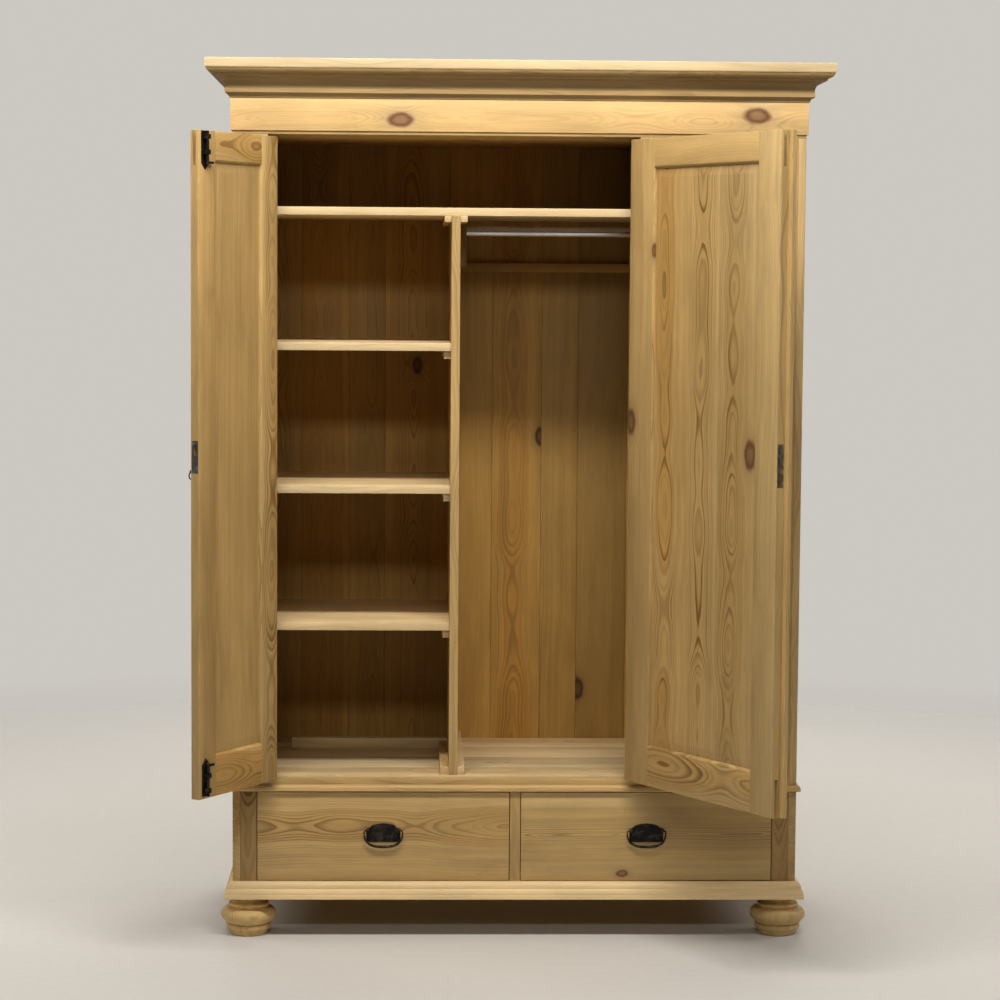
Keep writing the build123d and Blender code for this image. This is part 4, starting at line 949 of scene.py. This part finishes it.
def shoot_bolts():
    """Two surface bolts: a pointed plate with two staples and screws, and a rod with a thumb lever."""
    plates = sorted(solids("bolt_plates", "left_door"), key=lambda box: -box[0].z)
    for label, tip, (low, high) in zip(("top", "bottom"), (-1, 1), plates):
        x, door = (low.x + high.x) / 2, low.y
        end, shoulder = (low.z, low.z + 14 * MM) if tip < 0 else (high.z, high.z - 14 * MM)
        far = high.z if tip < 0 else low.z
        run = end - far
        half, waist = (high.x - low.x) / 2, shoulder + tip * 9 * MM
        points = [(-half, far), (half, far), (half, shoulder), (half * 0.45, waist), (0, end),
                  (-half * 0.45, waist), (-half, shoulder)]
        base = pull(outline("plate", [Vector((x + a, door, b)) for a, b in points]), Y * 2 * MM)
        soften(base, 0.5 * MM, 2, edges_at(Y, door + 2 * MM))
        parts = []
        for along in (0.15, 0.55):
            mid = far + run * along
            strap = block("strap", (x - 9.5 * MM, door + 1.8 * MM, mid - 5 * MM),
                          (x + 9.5 * MM, door + 11.5 * MM, mid + 5 * MM))
            soften(strap, 3.6 * MM, 4, lambda e: runs_along(e, Z) and middle_of(e).y > door + 9 * MM)
            parts.append(cut(strap, ((x - 4.1 * MM, door + 2.9 * MM, mid - 6 * MM),
                                     (x + 4.1 * MM, door + 10.9 * MM, mid + 6 * MM))))
        for hand, along in ((-1, 0.34), (1, 0.34), (0, 0.9)):
            spot = Vector((x + hand * 9.5 * MM, door + 2.05 * MM, far + run * along))
            parts.append(screw(spot, Y, 2.1))
        fit(join(f"{label}_bolt_plate", *parts, base), "bolt_plates", "left_door")
        node = f"{label}_bolt"
        (low, high), = solids(node, "left_door")
        axis = Vector((x, door + 7 * MM, low.z))
        long = (high.z - low.z) / MM
        shape = [(0, 0), (2.6, 0), (3.9, 1.4), (3.9, long - 1.4), (2.6, long), (0, long)]
        bar = turn("bar", shape, axis, steps=24)
        lever_z = far + run * 0.82
        lever = block("lever", (x - 22 * MM, axis.y - 2.6 * MM, lever_z - 2.8 * MM),
                      (x - MM, axis.y + 2.6 * MM, lever_z + 2.8 * MM))
        soften(lever, 1.3 * MM, 3)
        fit(join(f"{label}_shoot_bolt", bar, lever), node, "left_door")


shoot_bolts()


def lock():
    """The lock with its face plate in the edge, the latch, the key and its plate, and the strike plate."""
    face = block("face", case_low, (case_low.x + 2 * MM, case_high.y, case_high.z))
    soften(face, 0.5 * MM)
    cut(face, latch_way(case_low.x - MM, case_low.x + 3 * MM))
    case = block("case", (case_low.x + 1.9 * MM, case_low.y + 1.5 * MM, case_low.z + 11 * MM),
                 (case_high.x, case_high.y - 1.5 * MM, case_high.z - 11 * MM))
    soften(case, 0.6 * MM)
    cut(case, ((case_low.x + 2.1 * MM, case_low.y + 3 * MM, case_low.z + 12.5 * MM),
               (case_high.x - 1.5 * MM, case_high.y - 3 * MM, case_high.z - 12.5 * MM)),
        latch_way(case_low.x + MM, case_low.x + 3 * MM),
        ((key_x - 2.7 * MM, case_low.y, key_z - 10 * MM),
         (key_x + 2.7 * MM, case_low.y + 4 * MM, key_z + 2.8 * MM)))
    middle_y = (case_low.y + case_high.y) / 2
    heads = [screw(Vector((case_low.x - 0.05 * MM, middle_y, z)), -X, 2.4)
             for z in (case_low.z + 6 * MM, case_high.z - 6 * MM)]
    fit(join("mortice_lock", case, *heads, face), "lock_case", "lock_door")

    fit(soften(block("latch", latch_low, latch_high), 0.8 * MM), "lock_bolt", "lock_door")

    low, high = leaf_box("strike_plate", "left_door")
    strike = soften(block("strike", low, high), 0.5 * MM)
    cut(strike, latch_way(low.x - MM, high.x + MM))
    heads = [screw(Vector((high.x + 0.05 * MM, (low.y + high.y) / 2, z)), X, 2.4)
             for z in (low.z + 7 * MM, high.z - 7 * MM)]
    fit(join("keeper", *heads, strike), "strike_plate", "left_door")

    low, high = leaf_box("key_plate", "lock_door")
    middle = Vector(((low.x + high.x) / 2, high.y, (low.z + high.z) / 2))
    ring = [(9.5 * MM * sin(t) * (1 + 0.18 * cos(2 * t)), 22.5 * MM * cos(t))
            for t in (2 * pi * i / 40 for i in range(40))]
    plate = pull(outline("plate", [middle + X * a + Z * b for a, b in ring]), -Y * 1.5 * MM)
    soften(plate, 0.5 * MM, 2, edges_at(Y, low.y))
    cut(plate, ((key_x - 1.7 * MM, low.y - MM, key_z - 10.2 * MM), (key_x + 1.7 * MM, high.y + MM, key_z)),
        ((key_x - 2.6 * MM, low.y - MM, key_z - 2.6 * MM), (key_x + 2.6 * MM, high.y + MM, key_z + 2.6 * MM)))
    heads = [screw(Vector((middle.x, low.y - 0.03 * MM, middle.z + s * 16.5 * MM)), -Y, 1.7)
             for s in (-1, 1)]
    fit(join("escutcheon", *heads, plate), "key_plate", "lock_door")

    bow = key_low.y + 13 * MM
    start = Vector((key_x, bow + 10.5 * MM, key_z))
    long = (key_high.y - start.y) / MM
    shape = [(0, 0), (2.4, 0), (3.4, 1), (3.4, 2.4), (2.4, 3.4), (2.4, 6), (3.2, 7), (3.2, 8.4), (2.4, 9.4),
             (2.4, long - 0.6), (1.9, long), (0, long)]
    shank = turn("shank", shape, start, Y, X, 24)
    bit = block("bit", (key_x - 1.2 * MM, key_high.y - 9 * MM, key_z - 9.5 * MM),
                (key_x + 1.2 * MM, key_high.y, key_z - MM))
    clear()
    bpy.ops.mesh.primitive_torus_add(location=(key_x, bow, key_z), rotation=(0, pi / 2, 0),
                                     major_radius=10.6 * MM, minor_radius=2 * MM,
                                     major_segments=36, minor_segments=12)
    fit(join("door_key", bit, shank, named("bow")), "key", "lock_door")


lock()


def ring_pull():
    """A small drop ring on a domed plate, by which the left leaf is drawn open."""
    low, high = leaf_box("pull_ring", "left_door")
    centre = (low + high) / 2
    clear()
    bpy.ops.mesh.primitive_torus_add(location=centre, rotation=(pi / 2, 0, 0), major_radius=8 * MM,
                                     minor_radius=1.45 * MM, major_segments=40, minor_segments=12)
    fit(named("drop_ring"), "pull_ring", "left_door")
    low, high = leaf_box("ring_plate", "left_door")
    middle = Vector((centre.x, high.y, centre.z + 8 * MM))
    shape = [(0, 0), (7, 0), (7, 0.7), (6.2, 1.4), (4.4, 1.9), (3, 2), (0, 2)]
    plate = turn("rose", shape, middle, -Y, X, 36)
    eye = Vector((centre.x, centre.y, middle.z))
    rim = [(2.3, -1.5), (3.6, -1.5), (4, -0.9), (4, 0.9), (3.6, 1.5), (2.3, 1.5), (2.3, -1.5)]
    loop = turn("loop", rim, eye, X, Y, 24)
    stem = soften(block("stem", eye + Vector((-1.4, 2.8, -1.6)) * MM,
                        (eye.x + 1.4 * MM, high.y - 1.8 * MM, eye.z + 1.6 * MM)), 0.4 * MM)
    fit(join("ring_rose", loop, stem, plate), "ring_plate", "left_door")


ring_pull()


def hanging_rail():
    """A steel tube between its two blocks, slightly rounded at the ends."""
    low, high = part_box("hanging_rail")
    start = Vector((low.x, (low.y + high.y) / 2, (low.z + high.z) / 2))
    long, outer = (high.x - low.x) / MM, (high.z - low.z) / 2 / MM
    shape = [(outer - 1.5, 0), (outer - 0.3, 0), (outer, 0.3), (outer, long - 0.3), (outer - 0.3, long),
             (outer - 1.5, long), (outer - 1.5, 0)]
    fit(turn("rail_tube", shape, start, X, Y, 64), "hanging_rail")


hanging_rail()

# ---- camera, floor and light ---------------------------------------------------------------

def camera():
    """Eye height, a little left of the middle, far enough back for a long lens."""
    yaw, pitch, roll = radians(1.8085), radians(-4.498), radians(0.4129)
    ahead = Vector((sin(yaw) * cos(pitch), cos(yaw) * cos(pitch), sin(pitch)))
    right = Vector((cos(yaw), -sin(yaw), 0))
    up = right.cross(ahead)
    side = right * cos(roll) + up * sin(roll)
    top = up * cos(roll) - right * sin(roll)
    made = bpy.data.cameras.new("camera")
    made.lens, made.sensor_width = 98.507, 36.0
    seen_from = bpy.data.objects.new("camera", made)
    turned = Matrix((side, top, -ahead)).transposed().to_4x4()
    seen_from.matrix_world = Matrix.Translation((-0.2361, -6.2101, 1.4996)) @ turned
    bpy.context.scene.collection.objects.link(seen_from)
    bpy.context.scene.camera = seen_from


def lamp(name, place, target, width, height, power, tint=(1.0, 0.95, 0.88)):
    """A soft rectangular lamp that faces a point."""
    light = bpy.data.lights.new(name, "AREA")
    light.shape, light.size, light.size_y = "RECTANGLE", width, height
    light.energy, light.color = power, tint
    hung = bpy.data.objects.new(name, light)
    aim = (Vector(target) - Vector(place)).to_track_quat("-Z", "Y")
    hung.matrix_world = Matrix.Translation(place) @ aim.to_matrix().to_4x4()
    bpy.context.scene.collection.objects.link(hung)


def floor():
    """A pale matt floor that melts into the pale surroundings."""
    clear()
    bpy.ops.mesh.primitive_plane_add(size=30, location=(0, 0, 0))
    ground = named("floor")
    f = Finish("pale_floor")
    place = f.node("ShaderNodeTexCoord").outputs["Object"]
    speck = f.noise(place, 40.0, 4.0)
    f.feed(f.shader.inputs["Base Color"], f.mix(speck, colour(0.6, 0.59, 0.57), colour(0.66, 0.65, 0.63)))
    f.gloss(roughness=0.9)
    away = f.node("ShaderNodeVectorMath", {0: place}, operation="LENGTH").outputs["Value"]
    clear_glass = f.node("ShaderNodeBsdfTransparent").outputs[0]
    blend = f.node("ShaderNodeMixShader", {0: f.fade(away, 2.3, 4.6), 1: f.shader.outputs[0], 2: clear_glass})
    f.tree.links.new(blend.outputs[0], f.tree.nodes["Material Output"].inputs["Surface"])
    ground.data.materials.append(f.material)


camera()
floor()
lamp("ceiling_near", (-0.15, -1.5, 3.3), (0.0, -0.1, 1.0), 2.4, 0.3, 90)
lamp("ceiling_far", (-0.3, -5.2, 3.37), (0.0, 0.3, 1.0), 3.0, 0.4, 50)
lamp("over_the_back", (0.0, 3.2, 4.2), (0.0, 2.6, 0.0), 6.0, 2.0, 90)
lamp("behind", (0.4, 3.6, 2.6), (0.0, 0.5, 1.0), 3.0, 1.5, 60)
lamp("right_side", (4.2, 1.0, 2.4), (0.3, 0.3, 1.0), 2.0, 1.5, 45)
lamp("left_side", (-4.2, 1.0, 2.4), (-0.3, 0.3, 1.0), 2.0, 1.5, 45)


def surroundings(glow, seen):
    """A dim even glow, with a paler tone where nothing stands behind the wardrobe."""
    world = bpy.data.worlds.new("studio")
    world.use_nodes = True
    tree = world.node_tree
    dim = tree.nodes["Background"]
    dim.inputs["Color"].default_value = colour(1.0, 0.96, 0.9)
    dim.inputs["Strength"].default_value = glow
    pale = tree.nodes.new("ShaderNodeBackground")
    pale.inputs["Color"].default_value = colour(0.6, 0.575, 0.535)
    pale.inputs["Strength"].default_value = seen
    straight = tree.nodes.new("ShaderNodeLightPath")
    mix = tree.nodes.new("ShaderNodeMixShader")
    tree.links.new(straight.outputs["Is Camera Ray"], mix.inputs[0])
    tree.links.new(dim.outputs[0], mix.inputs[1])
    tree.links.new(pale.outputs[0], mix.inputs[2])
    tree.links.new(mix.outputs[0], tree.nodes["World Output"].inputs[0])
    bpy.context.scene.world = world


surroundings(0.05, 1.0)
bpy.context.scene.view_settings.view_transform = "Standard"
